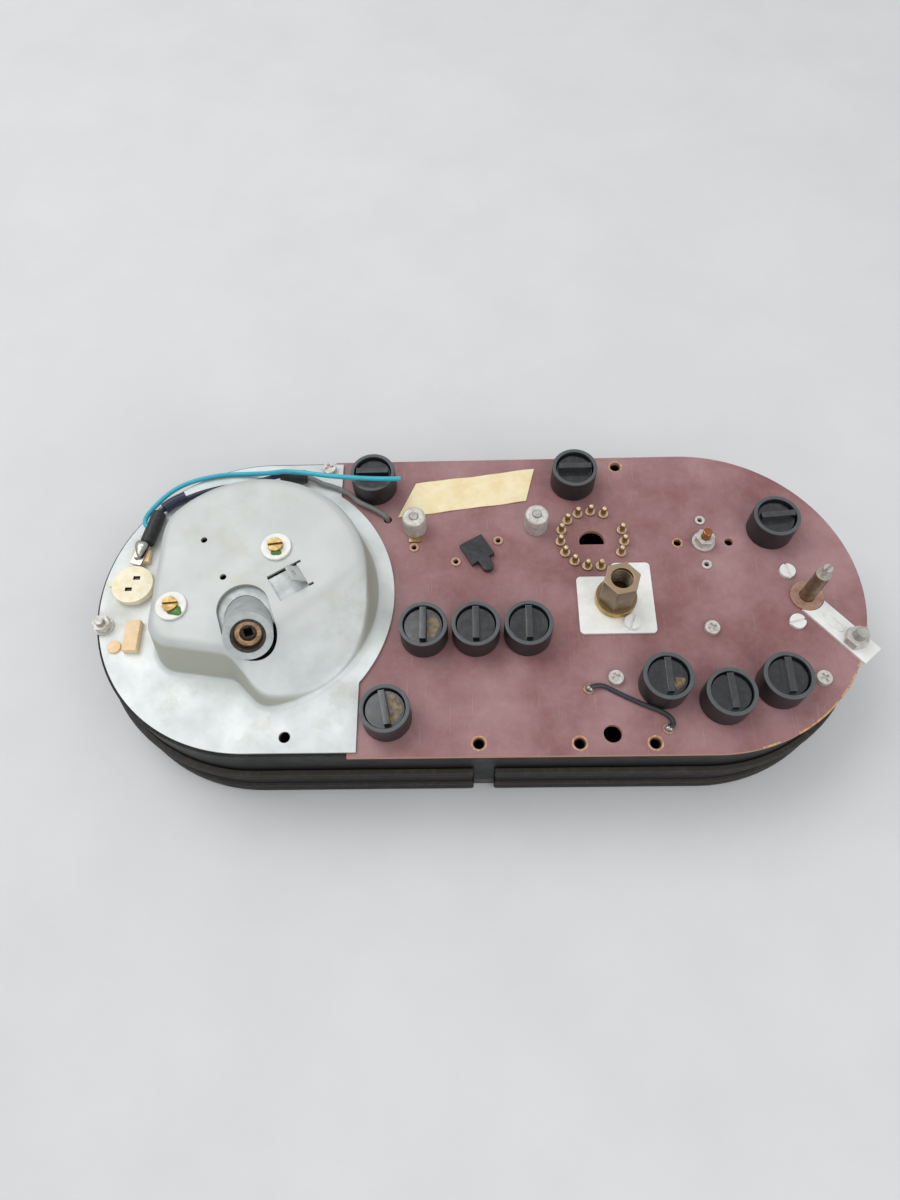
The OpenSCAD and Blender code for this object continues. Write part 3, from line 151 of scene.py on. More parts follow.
def finish(name, main, second, patch, rough, metal=0.0, grain=None, scratch=0.0, dust=None, thread=None, side=None,
           bands=(), stain=None, **shader):
    """A material with patches of a second colour, a roughness that varies, grain, scratches, dust and threads.
    Sizes are in millimetres: patch and grain are feature sizes, and thread is a pitch along Z. Side is the colour
    of steep faces, bands are colours between two heights that fade in from below, and stain is a colour in a few
    large blots."""
    material = bpy.data.materials.new(name)
    material.use_nodes = True
    tree = material.node_tree
    tree.nodes.clear()
    place = add(tree, "ShaderNodeTexCoord").outputs["Object"]
    height = add(tree, "ShaderNodeSeparateXYZ", Vector=place).outputs[2]
    normal = add(tree, "ShaderNodeNewGeometry").outputs["Normal"]
    upward = add(tree, "ShaderNodeSeparateXYZ", Vector=normal).outputs[2]
    mix, multiply = {"data_type": "RGBA"}, {"operation": "MULTIPLY", "use_clamp": True}
    patches = add(tree, "ShaderNodeTexNoise", Vector=place, Scale=1 / (patch * MM), Detail=5.0, Roughness=0.62)
    share = add(tree, "ShaderNodeMapRange", i0=patches.outputs[0], i1=0.35, i2=0.68)
    colour = add(tree, "ShaderNodeMix", mix, i0=share.outputs[0], i6=linear(main), i7=linear(second)).outputs[2]
    for low, high, fade, code in bands:
        start = add(tree, "ShaderNodeMapRange", i0=height, i1=(low - fade) * MM, i2=(low + fade) * MM)
        stop = add(tree, "ShaderNodeMapRange", i0=height, i1=high * MM, i2=(high + BAND_END) * MM, i3=1.0, i4=0.0)
        level = add(tree, "ShaderNodeMath", multiply, i0=start.outputs[0], i1=stop.outputs[0])
        colour = add(tree, "ShaderNodeMix", mix, i0=level.outputs[0], i6=colour, i7=linear(code)).outputs[2]
    if side:
        steep = add(tree, "ShaderNodeMapRange", i0=upward, i1=0.2, i2=0.6, i3=1.0, i4=0.0)
        colour = add(tree, "ShaderNodeMix", mix, i0=steep.outputs[0], i6=colour, i7=linear(side)).outputs[2]
    if stain:
        blots = add(tree, "ShaderNodeTexNoise", Vector=place, Scale=1 / (STAIN_SIZE * MM), Detail=7.0, Roughness=0.7)
        wet = add(tree, "ShaderNodeMapRange", i0=blots.outputs[0], i1=0.54, i2=0.74, i4=0.75)
        colour = add(tree, "ShaderNodeMix", mix, i0=wet.outputs[0], i6=colour, i7=linear(stain)).outputs[2]
    if scratch:
        stretch = add(tree, "ShaderNodeMapping", Vector=place, Rotation=(0, 0, 0.5), Scale=(1.0, 0.03, 1.0))
        lines = add(tree, "ShaderNodeTexNoise", Vector=stretch.outputs[0], Scale=1 / (SCRATCH_SIZE * MM), Detail=2.0)
        cut = add(tree, "ShaderNodeMapRange", i0=lines.outputs[0], i1=0.66, i2=0.74, i4=scratch)
        colour = add(tree, "ShaderNodeMix", mix, i0=cut.outputs[0], i6=colour, i7=linear(SCRATCH_COLOUR)).outputs[2]
    if dust:
        specks = add(tree, "ShaderNodeTexNoise", Vector=place, Scale=1 / (DUST_SIZE * MM), Detail=6.0, Roughness=0.7)
        thick = add(tree, "ShaderNodeMapRange", i0=specks.outputs[0], i1=0.5, i2=0.75, i4=dust)
        lies = add(tree, "ShaderNodeMath", multiply, i0=upward, i1=thick.outputs[0])
        colour = add(tree, "ShaderNodeMix", mix, i0=lies.outputs[0], i6=colour, i7=linear(DUST_COLOUR)).outputs[2]
    gloss = add(tree, "ShaderNodeMapRange", i0=patches.outputs[0], i1=0.3, i2=0.7, i3=rough[0], i4=rough[1])
    relief = {}
    if grain:
        size, depth = grain
        fine = add(tree, "ShaderNodeTexNoise", Vector=place, Scale=1 / (size * MM), Detail=3.0)
        bump = add(tree, "ShaderNodeBump", Height=fine.outputs[0], Strength=0.6, Distance=depth * MM)
        relief = {"Normal": bump.outputs[0]}
    if thread:
        waves = add(tree, "ShaderNodeTexWave", {"bands_direction": "Z"}, Vector=place,
                    Scale=math.pi / (10 * thread * MM))
        bump = add(tree, "ShaderNodeBump", Height=waves.outputs["Fac"], Strength=0.9, Distance=0.35 * thread * MM,
                   **relief)
        relief = {"Normal": bump.outputs[0]}
    surface = add(tree, "ShaderNodeBsdfPrincipled", Base_Color=colour, Roughness=gloss.outputs[0], Metallic=metal,
                  **relief, **shader)
    out = add(tree, "ShaderNodeOutputMaterial", Surface=surface.outputs[0])
    out.is_active_output = True
    return material


def make_finishes(looks):
    """All the finishes by name."""
    made = {}
    # Phenolic paper laminate, sawn and rubbed: dull brown-red, pale brown where it is cut, with fibres and dust
    made["phenolic"] = finish("phenolic_laminate", looks.board_colour, "#A47F81", 26, (0.45, 0.62),
                              grain=(0.35, 0.02), scratch=0.14, dust=0.16, side="#B98A6C")
    # The same laminate where a drill or a saw has torn it: raw pale brown paper
    made["raw_laminate"] = finish("torn_laminate", "#D2AC8C", "#A8754F", 1.2, (0.6, 0.8), grain=(0.3, 0.05))
    # Tin-plated sheet steel, drawn: pale and satin; the can's top is painted darker as painted shade, and its steep
    # walls are painted darker and browner, partly real brown staining and partly painted shade
    made["plate"] = finish("tinned_sheet_steel", looks.plate_colour, "#CBD0CF", 14, (0.5, 0.64), metal=0.35,
                           grain=(0.5, 0.006), scratch=0.1, bands=((CAN_TOP - 4, CAN_TOP + 9, 4, "#C4C8C7"),),
                           side="#B2B3A8", stain="#BAB7A9")
    # Zinc die-casting: grey, finely grained from the mould
    made["casting"] = finish("zinc_die_casting", "#BEC4C3", "#A3A9A9", 5, (0.42, 0.58), metal=0.3, grain=(0.3, 0.015))
    # Sintered bronze, oil-stained: dull brown metal
    made["bronze"] = finish("sintered_bronze", "#C3A07C", "#8A694B", 1.6, (0.34, 0.52), metal=0.7, grain=(0.2, 0.01))
    # Turned steel, and the same blackened with old oil, which also paints a dark ring of shade in the port
    made["steel"] = finish("turned_steel", "#7C7972", "#55524D", 3, (0.28, 0.42), metal=1.0, grain=(0.2, 0.006))
    made["oiled_and_shade"] = finish("oil_blackened_steel_and_shade", "#47423C", "#2A2724", 1.5, (0.3, 0.5), metal=0.6, grain=(0.2, 0.01))
    # Brass, aged: dull yellow-brown
    made["brass"] = finish("aged_brass", "#B39A66", "#8C7247", 2.5, (0.28, 0.46), metal=0.85, grain=(0.25, 0.008))
    # Turned brass pins: their upward ends painted pale as a painted highlight, brown on their sides
    made["pin"] = finish("brass_pins_with_painted_highlight", "#E6CFAE", "#CDB085", 1.2, (0.25, 0.4), metal=0.6, side="#8E7048")
    # Turned brass union, yellow at its flange and grey-brown from heat above it
    made["union"] = finish("heat_browned_brass", "#C3A55C", "#9A7F45", 3, (0.25, 0.42), metal=0.8, grain=(0.25, 0.008),
                           bands=((39.9, 52.6, 0.2, "#857460"), (52.6, 60, 0.2, "#B39C80")))
    # Turned brass spindle, brown below and bare grey metal at its slotted tip
    made["spindle"] = finish("browned_brass_spindle", "#84705A", "#6A5946", 2.5, (0.3, 0.46), metal=0.6,
                             grain=(0.25, 0.01), bands=((52.4, 60, 0.2, "#C6C4BC"),))
    # Threaded steel rod, zinc-plated
    made["zinc_thread"] = finish("zinc_plated_thread", "#C0BFB9", "#9C998F", 1.8, (0.42, 0.56), metal=0.5, thread=0.7)
    # Threaded brass rod, reddish
    made["brass_thread"] = finish("brass_thread", "#B5764A", "#8C5A36", 2.5, (0.3, 0.46), metal=1.0, thread=0.7)
    # Zinc-plated steel fasteners: pale grey with white bloom
    made["zinc"] = finish("zinc_plated_steel", "#DAD8D2", "#B6B1A8", 1.8, (0.46, 0.6), metal=0.4, grain=(0.25, 0.01))
    # Nickel strip, bright
    made["nickel"] = finish("nickel_strip", "#F4F5F2", "#E6E6E2", 4, (0.4, 0.55), metal=0.2, grain=(0.4, 0.006),
                            scratch=0.1)
    # Copper washer, brown from heat
    made["copper"] = finish("dull_copper", "#C59F8B", "#A17F6D", 2, (0.36, 0.5), metal=0.5, grain=(0.25, 0.01))
    # Phenolic moulding, black and glossy with fine rubs; its lighter patches are painted reflection, and the tops of
    # the grips are painted grey as a painted highlight
    made["moulding"] = finish("black_phenolic_moulding", "#121417", "#23272B", 4, (0.12, 0.3), grain=(0.6, 0.006),
                              scratch=0.06, dust=0.08, bands=((46.9, 50, 0.2, "#2F3235"),), Specular_IOR_Level=0.85)
    # The same moulding with a rubbed grey rim
    made["collar"] = finish("rubbed_phenolic_moulding", "#191A1C", "#272829", 3, (0.3, 0.5), grain=(0.5, 0.012),
                            scratch=0.05, dust=0.1, bands=((45.7, 46.5, 0.2, "#505558"),))
    # A smear of old glue, tan
    made["glue"] = finish("tan_glue", "#8F7A58", "#4A3F30", 1.6, (0.25, 0.5), grain=(0.5, 0.03))
    # Moulded case, black and satin
    made["case"] = finish("black_moulded_case", "#131416", "#0D0E0F", 9, (0.4, 0.55), grain=(0.5, 0.02), scratch=0.07,
                          dust=0.05, Specular_IOR_Level=0.25)
    # Painted zinc bezel, satin black
    made["bezel"] = finish("black_enamelled_bezel", "#1B1A19", "#262422", 8, (0.3, 0.45), grain=(0.6, 0.01))
    # Extruded rubber, with the top faces of its two lips painted grey-brown as a painted highlight
    made["rubber"] = finish("extruded_rubber", "#151515", "#1D1C1B", 5, (0.5, 0.7), grain=(0.4, 0.03), dust=0.1,
                            bands=((6.6, 7.0, 0.2, "#3F3B37"), (20.6, 21.2, 0.2, "#3F3B37")),
                            Specular_IOR_Level=0.25)
    # Nylon moulding, cream and yellowed
    made["cream"] = finish("yellowed_nylon", "#F8F0D8", "#EBDEB6", 3, (0.32, 0.48), grain=(0.5, 0.01))
    # Nylon moulding, orange-cream
    made["peach"] = finish("peach_nylon", "#F1D5AB", "#E7C494", 3, (0.35, 0.5), grain=(0.5, 0.01))
    # Fibre washers, white
    made["white"] = finish("white_fibre", "#F4F3EF", "#E8E6E0", 2.5, (0.5, 0.65), grain=(0.3, 0.01))
    # Shrunk sleeve, black
    made["sleeve"] = finish("shrunk_sleeve", "#1A1B1D", "#26272A", 2, (0.42, 0.6), grain=(0.7, 0.05), dust=0.12)
    # Extruded wire insulation in four colours
    made["teal"] = finish("teal_insulation", looks.wire_colour, "#3CB7CC", 7, (0.34, 0.46), grain=(0.6, 0.008))
    made["blue"] = finish("navy_insulation", "#262B4C", "#1D2139", 4, (0.36, 0.5), grain=(0.6, 0.01))
    made["grey"] = finish("grey_insulation", "#7C807B", "#686B66", 4, (0.4, 0.55), grain=(0.6, 0.01))
    made["dark"] = finish("dark_insulation", "#34363B", "#26282C", 4, (0.36, 0.5), grain=(0.6, 0.01))
    # Crepe paper tape, yellowed
    made["tape"] = finish("yellowed_paper_tape", "#F3E6C2", "#E8D3A0", 7, (0.62, 0.78), grain=(0.7, 0.06))
    # Locking lacquer, green
    made["lacquer"] = finish("green_lacquer", "#5D8A3C", "#3F6628", 1.2, (0.2, 0.35), grain=(0.5, 0.03))
    # Tin solder, half bright
    made["solder"] = finish("tin_solder", "#C2C1BC", "#96948E", 1.0, (0.2, 0.4), metal=1.0, grain=(0.5, 0.06))
    # Cast acrylic window, clear
    made["window"] = finish("clear_acrylic", "#F2F6F7", "#EAF0F1", 30, (0.03, 0.08), Transmission_Weight=1.0, IOR=1.49)
    # Dial paint, matt black, with white print
    made["dial"] = finish("matt_dial_paint", "#15171A", "#1B1D20", 6, (0.6, 0.72), grain=(0.3, 0.008))
    made["print"] = finish("white_dial_print", "#ECE9DC", "#DFDBCB", 3, (0.55, 0.65), grain=(0.3, 0.004))
    # Pointer paint, orange
    made["pointer"] = finish("orange_pointer_paint", "#D8562C", "#C94A23", 4, (0.42, 0.55), grain=(0.4, 0.006))
    # Spun aluminium cup, barium ferrite magnet, glazed ceramic
    made["aluminium"] = finish("spun_aluminium", "#D3D6D8", "#BFC3C6", 4, (0.25, 0.4), metal=1.0, grain=(0.2, 0.006))
    made["ferrite"] = finish("ferrite_magnet", "#4A4B4E", "#3A3B3D", 3, (0.5, 0.65), grain=(0.3, 0.02))
    made["ceramic"] = finish("glazed_ceramic", "#DAD3C4", "#CBC3B1", 5, (0.25, 0.4), grain=(0.5, 0.01))
    made["bulb"] = finish("lamp_glass", "#F3F0E6", "#E6E1D2", 4, (0.05, 0.12), Transmission_Weight=0.85, IOR=1.5)
    return made


FINISH = {}

# Nodes that keep the solid's own mesh, and their finishes
KEPT = {
    "bezel": "bezel", "lens": "window", "dial_plate": "dial", "staff_bridge": "brass", "input_spindle": "oiled_and_shade",
    "rotor_arbor": "steel", "rotor_magnet": "ferrite", "speed_cup": "aluminium", "pointer_staff": "steel",
    "hairspring": "brass", "speed_needle": "pointer", "odometer_axle": "steel", "odometer_shaft": "steel",
    "odometer_first_drum": "print", "odometer_drums": "dial", "dimmer_body": "ceramic", "gauge_bodies": "case",
    "fuel_needle": "pointer", "pressure_needle": "pointer", "temperature_needle": "pointer",
}

# Nodes whose edges are softened in a copy: finish, edge width in mm
SOFTENED = {
    "housing": ("case", 0.5), "seal_strip": ("rubber", 0.9), "circuit_board": ("phenolic", 0.3),
    "movement_frame": ("casting", 0.5), "port_bush": ("bronze", 0.3), "cover_screws": ("brass", 0.25),
    "cover_washers": ("white", 0.3), "lamp_tag": ("solder", 0.2), "lead_sleeves": ("sleeve", 0.8),
    "cream_clips": ("peach", 0.3), "lamp_collars": ("collar", 0.35), "terminal_nuts": ("zinc", 0.4),
    "studs": ("zinc_thread", 0.4), "blanking_plug": ("moulding", 0.4), "eyelets": ("copper", 0.15),
    "connector_pins": ("pin", 0.15), "union_plate": ("nickel", 0.2), "pressure_union": ("union", 0.35),
    "hex_nuts": ("zinc", 0.3), "cross_screws": ("zinc", 0.2), "slotted_screws": ("nickel", 0.25),
    "dimmer_spindle": ("spindle", 0.3), "spindle_washer": ("copper", 0.2), "earth_strap": ("nickel", 0.25),
    "cover_lamp_holder": ("cream", 0.25), **{f"lamp_holder_{i}": ("moulding", 0.2) for i in range(1, 11)},
}
# Of these, nodes with narrow flat faces, which are split into triangles before their edges are rounded
SPLIT = ("cover_screws", "blanking_plug")

# Faces of a group that have a finish of their own: node, place in mm, reach in mm, greatest height in mm, finish
LAMPS = ((-37.0, 45.8), (36.3, 46.3), (105.0, 24.4), (-18.0, -15.2), (-0.5, -15.2), (17.0, -15.2), (-29.8, -44.2),
         (60.4, -34.4), (79.6, -40.0), (98.3, -34.9))
APART = (("studs", TEMPERATURE, 3, 99, "brass_thread"), ("eyelets", (81.0, 28.9), 3, 99, "zinc"),
         ("eyelets", (81.0, 10.7), 3, 99, "zinc"), ("cover_lamp_holder", (-121.4, 2.6), 1.6, 39.6, "oiled_and_shade"),
         ("cover_lamp_holder", (-119.2, 7.0), 1.6, 39.6, "oiled_and_shade"), ("cover_lamp_holder", CREAM_LAMP, 7, 27.9, "bulb"),
         *((f"lamp_holder_{i}", place, 7, 26.3, "bulb") for i, place in enumerate(LAMPS, 1)))

# Wire routes in millimetres: those on the cover start from the left end's centre, heights are above the board
SLEEVE_Z = 3.5
LOOSE = [(-41.2, 26.4, 4.6), (-43.6, 28.4, 4.5), (-44.3, 31.4, 3.6), (-43.6, 34.8, 2.8), (-41.8, 38.4, 2.2),
         (-39.2, 42.2, 1.9), (-35.3, 45.8, 1.9), (-30.5, 48.4, 1.9), (-24.8, 50.2, 1.9), (-18.8, 51.3, 1.9),
         (-12.8, 51.6, 1.9), (-7.3, 51.2, 2.6), (-2.3, 50, 4.4), (2.2, 48.6, 6.9), (6.7, 47.2, 9.3),
         (12.2, 45.6, 10.9), (17.7, 44.2, 11.7), (22.7, 43, 12.2), (27.7, 42.2, 12.4), (33.7, 41.6, 12.4),
         (39.2, 41.2, 12.4), (44.2, 41, 12.4), (49.2, 40.9, 12.4)]
BLUE = [(-39.8, 32.6, SLEEVE_Z), (-39.2, 34.6, 3.4), (-37.6, 36.8, 2.8), (-35.2, 38.7, 2.2), (-31.3, 41, 2.0),
        (-25.3, 43.6, 2.0), (-18.3, 45.6, 2.0), (-11.3, 46.8, 2.0), (-5.3, 47.8, 2.4), (-0.3, 48.8, 3.1),
        (3.2, 49.5, SLEEVE_Z), (5, 49.4, SLEEVE_Z)]
GREY = [(12.4, 48.7, SLEEVE_Z), (14.3, 48.4, 3.4), (16.6, 47.5, 2.9), (19.4, 46.2, 2.4), (23.4, 44.9, 2.1),
        (27, 43.2, 2.0), (29.8, 41.4, 2.0), (31.8, 39.3, 2.1), (34.4, 37.4, 2.1), (37.7, 35.7, 1.9),
        (40.4, 34.1, 1.7), (42.4, 32.6, 1.6), (43.4, 31.9, 0.8), (43.7, 31.6, -0.4), (43.8, 31.5, -1.8)]
JUMPER = [(0.2, 0.1, 1.3), (2.3, 0.8, 1.2), (5.1, 0.7, 0.85), (8.8, -1.4, 0.85), (13.1, -3.7, 0.85),
          (17.7, -6, 0.85), (22.1, -7.9, 0.85), (25, -9.9, 0.85), (25.9, -12, 1.1), (25.1, -13.4, 1.3),
          (24.4, -13.7, 1.3)]
JUMPER_START = (36.2, -35.2)
JUMPER_SIZE = 1.6
WRAP = [(-38.2, 36.1, 3.2), (-36.2, 38.1, 3.1), (-33.7, 39.8, 3.1), (-31.0, 41.2, 3.1)]
WRAP_SIZE = 4.0


# Shared steps


def new_object(name, mesh, finish_name=None):
    """A linked object for a mesh, with a finish."""
    obj = bpy.data.objects.new(name, mesh)
    bpy.context.scene.collection.objects.link(obj)
    if finish_name:
        mesh.materials.clear()
        mesh.materials.append(FINISH[finish_name])
    return obj


def mesh_of(name, points, faces, edges=()):
    """A mesh from points in millimetres."""
    mesh = bpy.data.meshes.new(name)
    mesh.from_pydata([Vector(p) * MM for p in points], list(edges), faces)
    mesh.update()
    return mesh


def plain(obj):
    """Turns an object's modifiers into a plain mesh."""
    graph = bpy.context.evaluated_depsgraph_get()
    mesh = bpy.data.meshes.new_from_object(obj.evaluated_get(graph), preserve_all_data_layers=True, depsgraph=graph)
    obj.modifiers.clear()
    old = obj.data
    obj.data = mesh
    mesh.name = obj.name
    bpy.data.meshes.remove(old)
    return obj


def smooth(obj, angle=38):
    """Smooth shading with edges kept sharp above an angle."""
    for polygon in obj.data.polygons:
        polygon.use_smooth = True
    obj.data.set_sharp_from_angle(angle=math.radians(angle))


def modify(obj, kind, **settings):
    """Adds a modifier with its settings."""
    modifier = obj.modifiers.new(kind.title(), kind)
    for name, value in settings.items():
        setattr(modifier, name, value)
    return modifier


def ride_as(obj, body, *nodes, slot=None):
    """The piece rides on a body and stands for CAD nodes, which it hides; a finish slot is looked up for them but not
    given to the piece.
    """
    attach(obj, body)
    if nodes:
        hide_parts(*nodes)
        slot = slot or next(s["material_slot"] for s in frame["record"]["subparts"] if s["node"] == nodes[0])
    return obj


def settle(obj, *nodes, slot=None, angle=38):
    """Turns a fixed piece's modifiers into its mesh, shades it smoothly and sets it on the body."""
    smooth(plain(obj), angle)
    return ride_as(obj, ROOT, *nodes, slot=slot)


def body_with(node):
    """The body that holds a CAD node."""
    return next(b for b, nodes in frame["record"]["behaviour"]["bodies"].items() if node in nodes)


def soften(node, finish_name, width):
    """A copy of a CAD node with its outer edges rounded stands for it."""
    merge, flat, sharp = 0.002 * MM, math.radians(0.4), math.radians(35)
    bm = bmesh.new()
    bm.from_mesh(frame["nodes"][node].data)
    bmesh.ops.remove_doubles(bm, verts=bm.verts, dist=merge)
    bmesh.ops.dissolve_limit(bm, angle_limit=flat, verts=bm.verts, edges=bm.edges)
    if node in SPLIT:
        bmesh.ops.triangulate(bm, faces=[f for f in bm.faces if len(f.verts) > 4])
    weight = bm.edges.layers.float.new("bevel_weight_edge")
    for edge in bm.edges:
        edge[weight] = float(edge.is_manifold and edge.calc_face_angle_signed(0) > sharp)
    mesh = bpy.data.meshes.new(node + "_soft")
    bm.to_mesh(mesh)
    bm.free()
    if "custom_normal" in mesh.attributes:
        mesh.attributes.remove(mesh.attributes["custom_normal"])
    obj = new_object(node + "_soft", mesh, finish_name)
    modify(obj, "BEVEL", width=width * MM, segments=2, limit_method="WEIGHT", use_clamp_overlap=True, loop_slide=False)
    plain(obj)
    smooth(obj)
    modify(obj, "WEIGHTED_NORMAL", keep_sharp=True)
    plain(obj)
    for place, reach, top, own in (row[1:] for row in APART if row[0] == node):
        obj.data.materials.append(FINISH[own])
        for polygon in obj.data.polygons:
            if (polygon.center.xy - Vector(place) * MM).length < reach * MM and polygon.center.z < top * MM:
                polygon.material_index = len(obj.data.materials) - 1
    return ride_as(obj, body_with(node), node)


def spread(route, start, step=1.2):
    """A smooth line through a route's points, in metres."""
    p = [Vector((x + start[0], y + start[1], z + BOARD_TOP)) * MM for x, y, z in route]
    out = []
    for i in range(len(p) - 1):
        a, b, c, d = p[max(i - 1, 0)], p[i], p[i + 1], p[min(i + 2, len(p) - 1)]
        count = max(2, round((c - b).length / (step * MM)))
        for k in range(count):
            t = k / count
            out.append(0.5 * (2 * b + (c - a) * t + (2 * a - 5 * b + 4 * c - d) * t * t
                              + (3 * b - a - 3 * c + d) * t * t * t))
    return out + [p[-1]]


def new_tree(name, **kinds):
    """A Geometry Nodes tree with named inputs, and the values that it is given."""
    tree = bpy.data.node_groups.new(name, "GeometryNodeTree")
    for label, kind in {"Geometry": "Geometry", **kinds}.items():
        tree.interface.new_socket(label, in_out="INPUT", socket_type="NodeSocket" + kind)
    tree.interface.new_socket("Geometry", in_out="OUTPUT", socket_type="NodeSocketGeometry")
    return tree, add(tree, "NodeGroupInput").outputs


def paint(tree, shape, finish_name):
    """Ends a Geometry Nodes tree with a shape in a finish."""
    real = add(tree, "GeometryNodeRealizeInstances", Geometry=shape.outputs[0])
    painted = add(tree, "GeometryNodeSetMaterial", Geometry=real.outputs[0], Material=FINISH[finish_name])
    add(tree, "NodeGroupOutput", Geometry=painted.outputs[0])
    return tree


def tube_tree(finish_name):
    """Geometry nodes that turn a line into an insulated wire."""
    tree, given = new_tree("wire_tube", Radius="Float", Sides="Int")
    line = add(tree, "GeometryNodeMeshToCurve", Mesh=given["Geometry"])
    ring = add(tree, "GeometryNodeCurvePrimitiveCircle", Resolution=given["Sides"], Radius=given["Radius"])
    tube = add(tree, "GeometryNodeCurveToMesh", Curve=line.outputs[0], Profile_Curve=ring.outputs[0], Fill_Caps=True)
    return paint(tree, tube, finish_name)


def set_inputs(obj, tree, **values):
    """A Geometry Nodes modifier with its named inputs set."""
    modifier = obj.modifiers.new(tree.name, "NODES")
    modifier.node_group = tree
    for item in tree.interface.items_tree:
        if item.in_out == "INPUT" and item.name in values:
            modifier[item.identifier] = values[item.name]
    return modifier


def make_tubes(name, lines, diameter, finish_name, slot, closed=False):
    """One piece of round bars along lines in millimetres: rims, edges, ribs, threads and a wrap."""
    points = [p for line in lines for p in line]
    edges, first = [], 0
    for line in lines:
        n = len(line)
        edges += [(first + i, first + (i + 1) % n) for i in range(n if closed else n - 1)]
        first += n
    obj = new_object(name, mesh_of(name, points, [], edges))
    set_inputs(obj, tube_tree(finish_name), Radius=diameter / 2 * MM, Sides=10)
    return settle(obj, slot=slot, angle=50)


def make_wire(name, node, route, start, diameter, finish_name):
    """A wire along a route, in place of its CAD solid."""
    line = spread(route, start)
    mesh = bpy.data.meshes.new(name)
    mesh.from_pydata(line, [(i, i + 1) for i in range(len(line) - 1)], [])
    obj = new_object(name, mesh)
    set_inputs(obj, tube_tree(finish_name), Radius=diameter / 2, Sides=14)
    return settle(obj, node, angle=50), line


# Outlines and grids


def angles(first, last, count):
    """Angles in radians from one to another in degrees, both included."""
    return [math.radians(first + (last - first) * i / count) for i in range(count + 1)]


def arc(x, y, radius, first, last, count):
    """Points on an arc from one angle to another in degrees, both included."""
    return [(x + radius * math.cos(a), y + radius * math.sin(a)) for a in angles(first, last, count)]


def circle(x, y, radius, count=28):
    """Points on a circle."""
    return arc(x, y, radius, 0, 360, count)[:-1]


def quads(rows, n, closed=True):
    """Faces of a grid with rows of n points."""
    return [(k * n + i, k * n + (i + 1) % n, (k + 1) * n + (i + 1) % n, (k + 1) * n + i)
            for k in range(rows - 1) for i in range(n if closed else n - 1)]


def prism(loop, low, high):
    """Points and faces of an upright prism."""
    n = len(loop)
    points = [(x, y, z) for z in (low, high) for x, y in loop]
    return points, quads(2, n) + [tuple(range(n - 1, -1, -1)), tuple(range(n, 2 * n))]


# Sheet cover


def soft_least(a, b, reach):
    """The lesser of two values, blended where they are nearly equal."""
    return min(a, b) - max(reach - abs(a - b), 0.0) ** 2 / (4 * reach)


def can_inset(p):
    """How far a point lies inside the can's foot, which has rounded corners."""
    away = p - CAN_STEP
    first, last = CAN_STEP_TURNS
    above = away.dot(Vector((math.sin(first), -math.cos(first))))
    beside = away.dot(Vector((-math.sin(last), math.cos(last))))
    step = -soft_least(-above, -beside, 1.6)
    return soft_least(soft_least(p.x + CAN_FLAT, step, 7.5), CAN_RADIUS - p.length, 3.3)


def can_profile():
    """Insets and heights up the can's wall, from the plate to the flat top."""
    height, draft, foot, edge = CAN_TOP - COVER_TOP, 2.0, 2.2, 3.6
    quarter = angles(0, 90, 6)
    line = [(-foot + foot * math.sin(a), foot - foot * math.cos(a)) for a in quarter]
    line += [(draft * t, foot + (height - edge - foot) * t) for t in (0.25, 0.5, 0.75)]
    return line + [(draft + edge - edge * math.cos(a), height - edge + edge * math.sin(a)) for a in quarter]


def can_height(p, wall):
    """Height of the can's skin at a point, where the sloping side cuts off the wall or the top."""
    reach = p.dot(Vector((math.cos(SLOPE_TURN), math.sin(SLOPE_TURN)))) - SLOPE_FROM
    slope = -soft_least(reach * math.tan(SLOPE_ANGLE) - (CAN_TOP - COVER_TOP), 0.0, 3.0)
    return soft_least(wall, slope, min(4.0, 1.2 * max(min(wall, slope), 0.01)))


def ray_length(ray, inset):
    """Distance along a ray from the can's centre to an inset from its foot."""
    near, far = 2.0, 60.0
    for _ in range(24):
        middle = (near + far) / 2
        if can_inset(ray * middle) > inset:
            near = middle
        else:
            far = middle
    return near


def inside(polygon, p):
    """True where a point lies in a closed line."""
    hit = False
    for i, a in enumerate(polygon):
        b = polygon[i - 1]
        if (a[1] > p[1]) != (b[1] > p[1]) and p[0] < (b[0] - a[0]) * (p[1] - a[1]) / (b[1] - a[1]) + a[0]:
            hit = not hit
    return hit


def cover_outline():
    """The cover's outer edge in millimetres."""
    inset, low_x, top_x = 1.5, -39.5, -49.3
    x, y, radius = -80.7, -0.3, 52.1
    end = HALF_WIDTH - inset
    low, top = (math.degrees(math.acos((edge - x) / radius)) for edge in (low_x, top_x))
    return arc(-ARC_X, 0, end, 90, 270, 96) + [(low_x, -end)] + arc(x, y, radius, -low, top, 60) + [(top_x, end)]


def fill(loops):
    """Triangles between an outer line and the lines of its holes, all in one plane."""
    points, edges = [], []
    for loop in loops:
        first = len(points)
        points += [Vector(p[:2]) for p in loop]
        edges += [(first + i, first + (i + 1) % len(loop)) for i in range(len(loop))]
    verts, _, faces, *_ = geometry.delaunay_2d_cdt(points, edges, [], 0, 1e-7)
    keep = []
    for f in faces:
        middle = sum((verts[i] for i in f), Vector((0, 0))) / len(f)
        if inside(loops[0], middle) and not any(inside(hole, middle) for hole in loops[1:]):
            a, b, c = (verts[i] for i in f[:3])
            keep.append(tuple(f) if (b - a).cross(c - a) > 0 else tuple(reversed(f)))
    return [tuple(v) for v in verts], keep


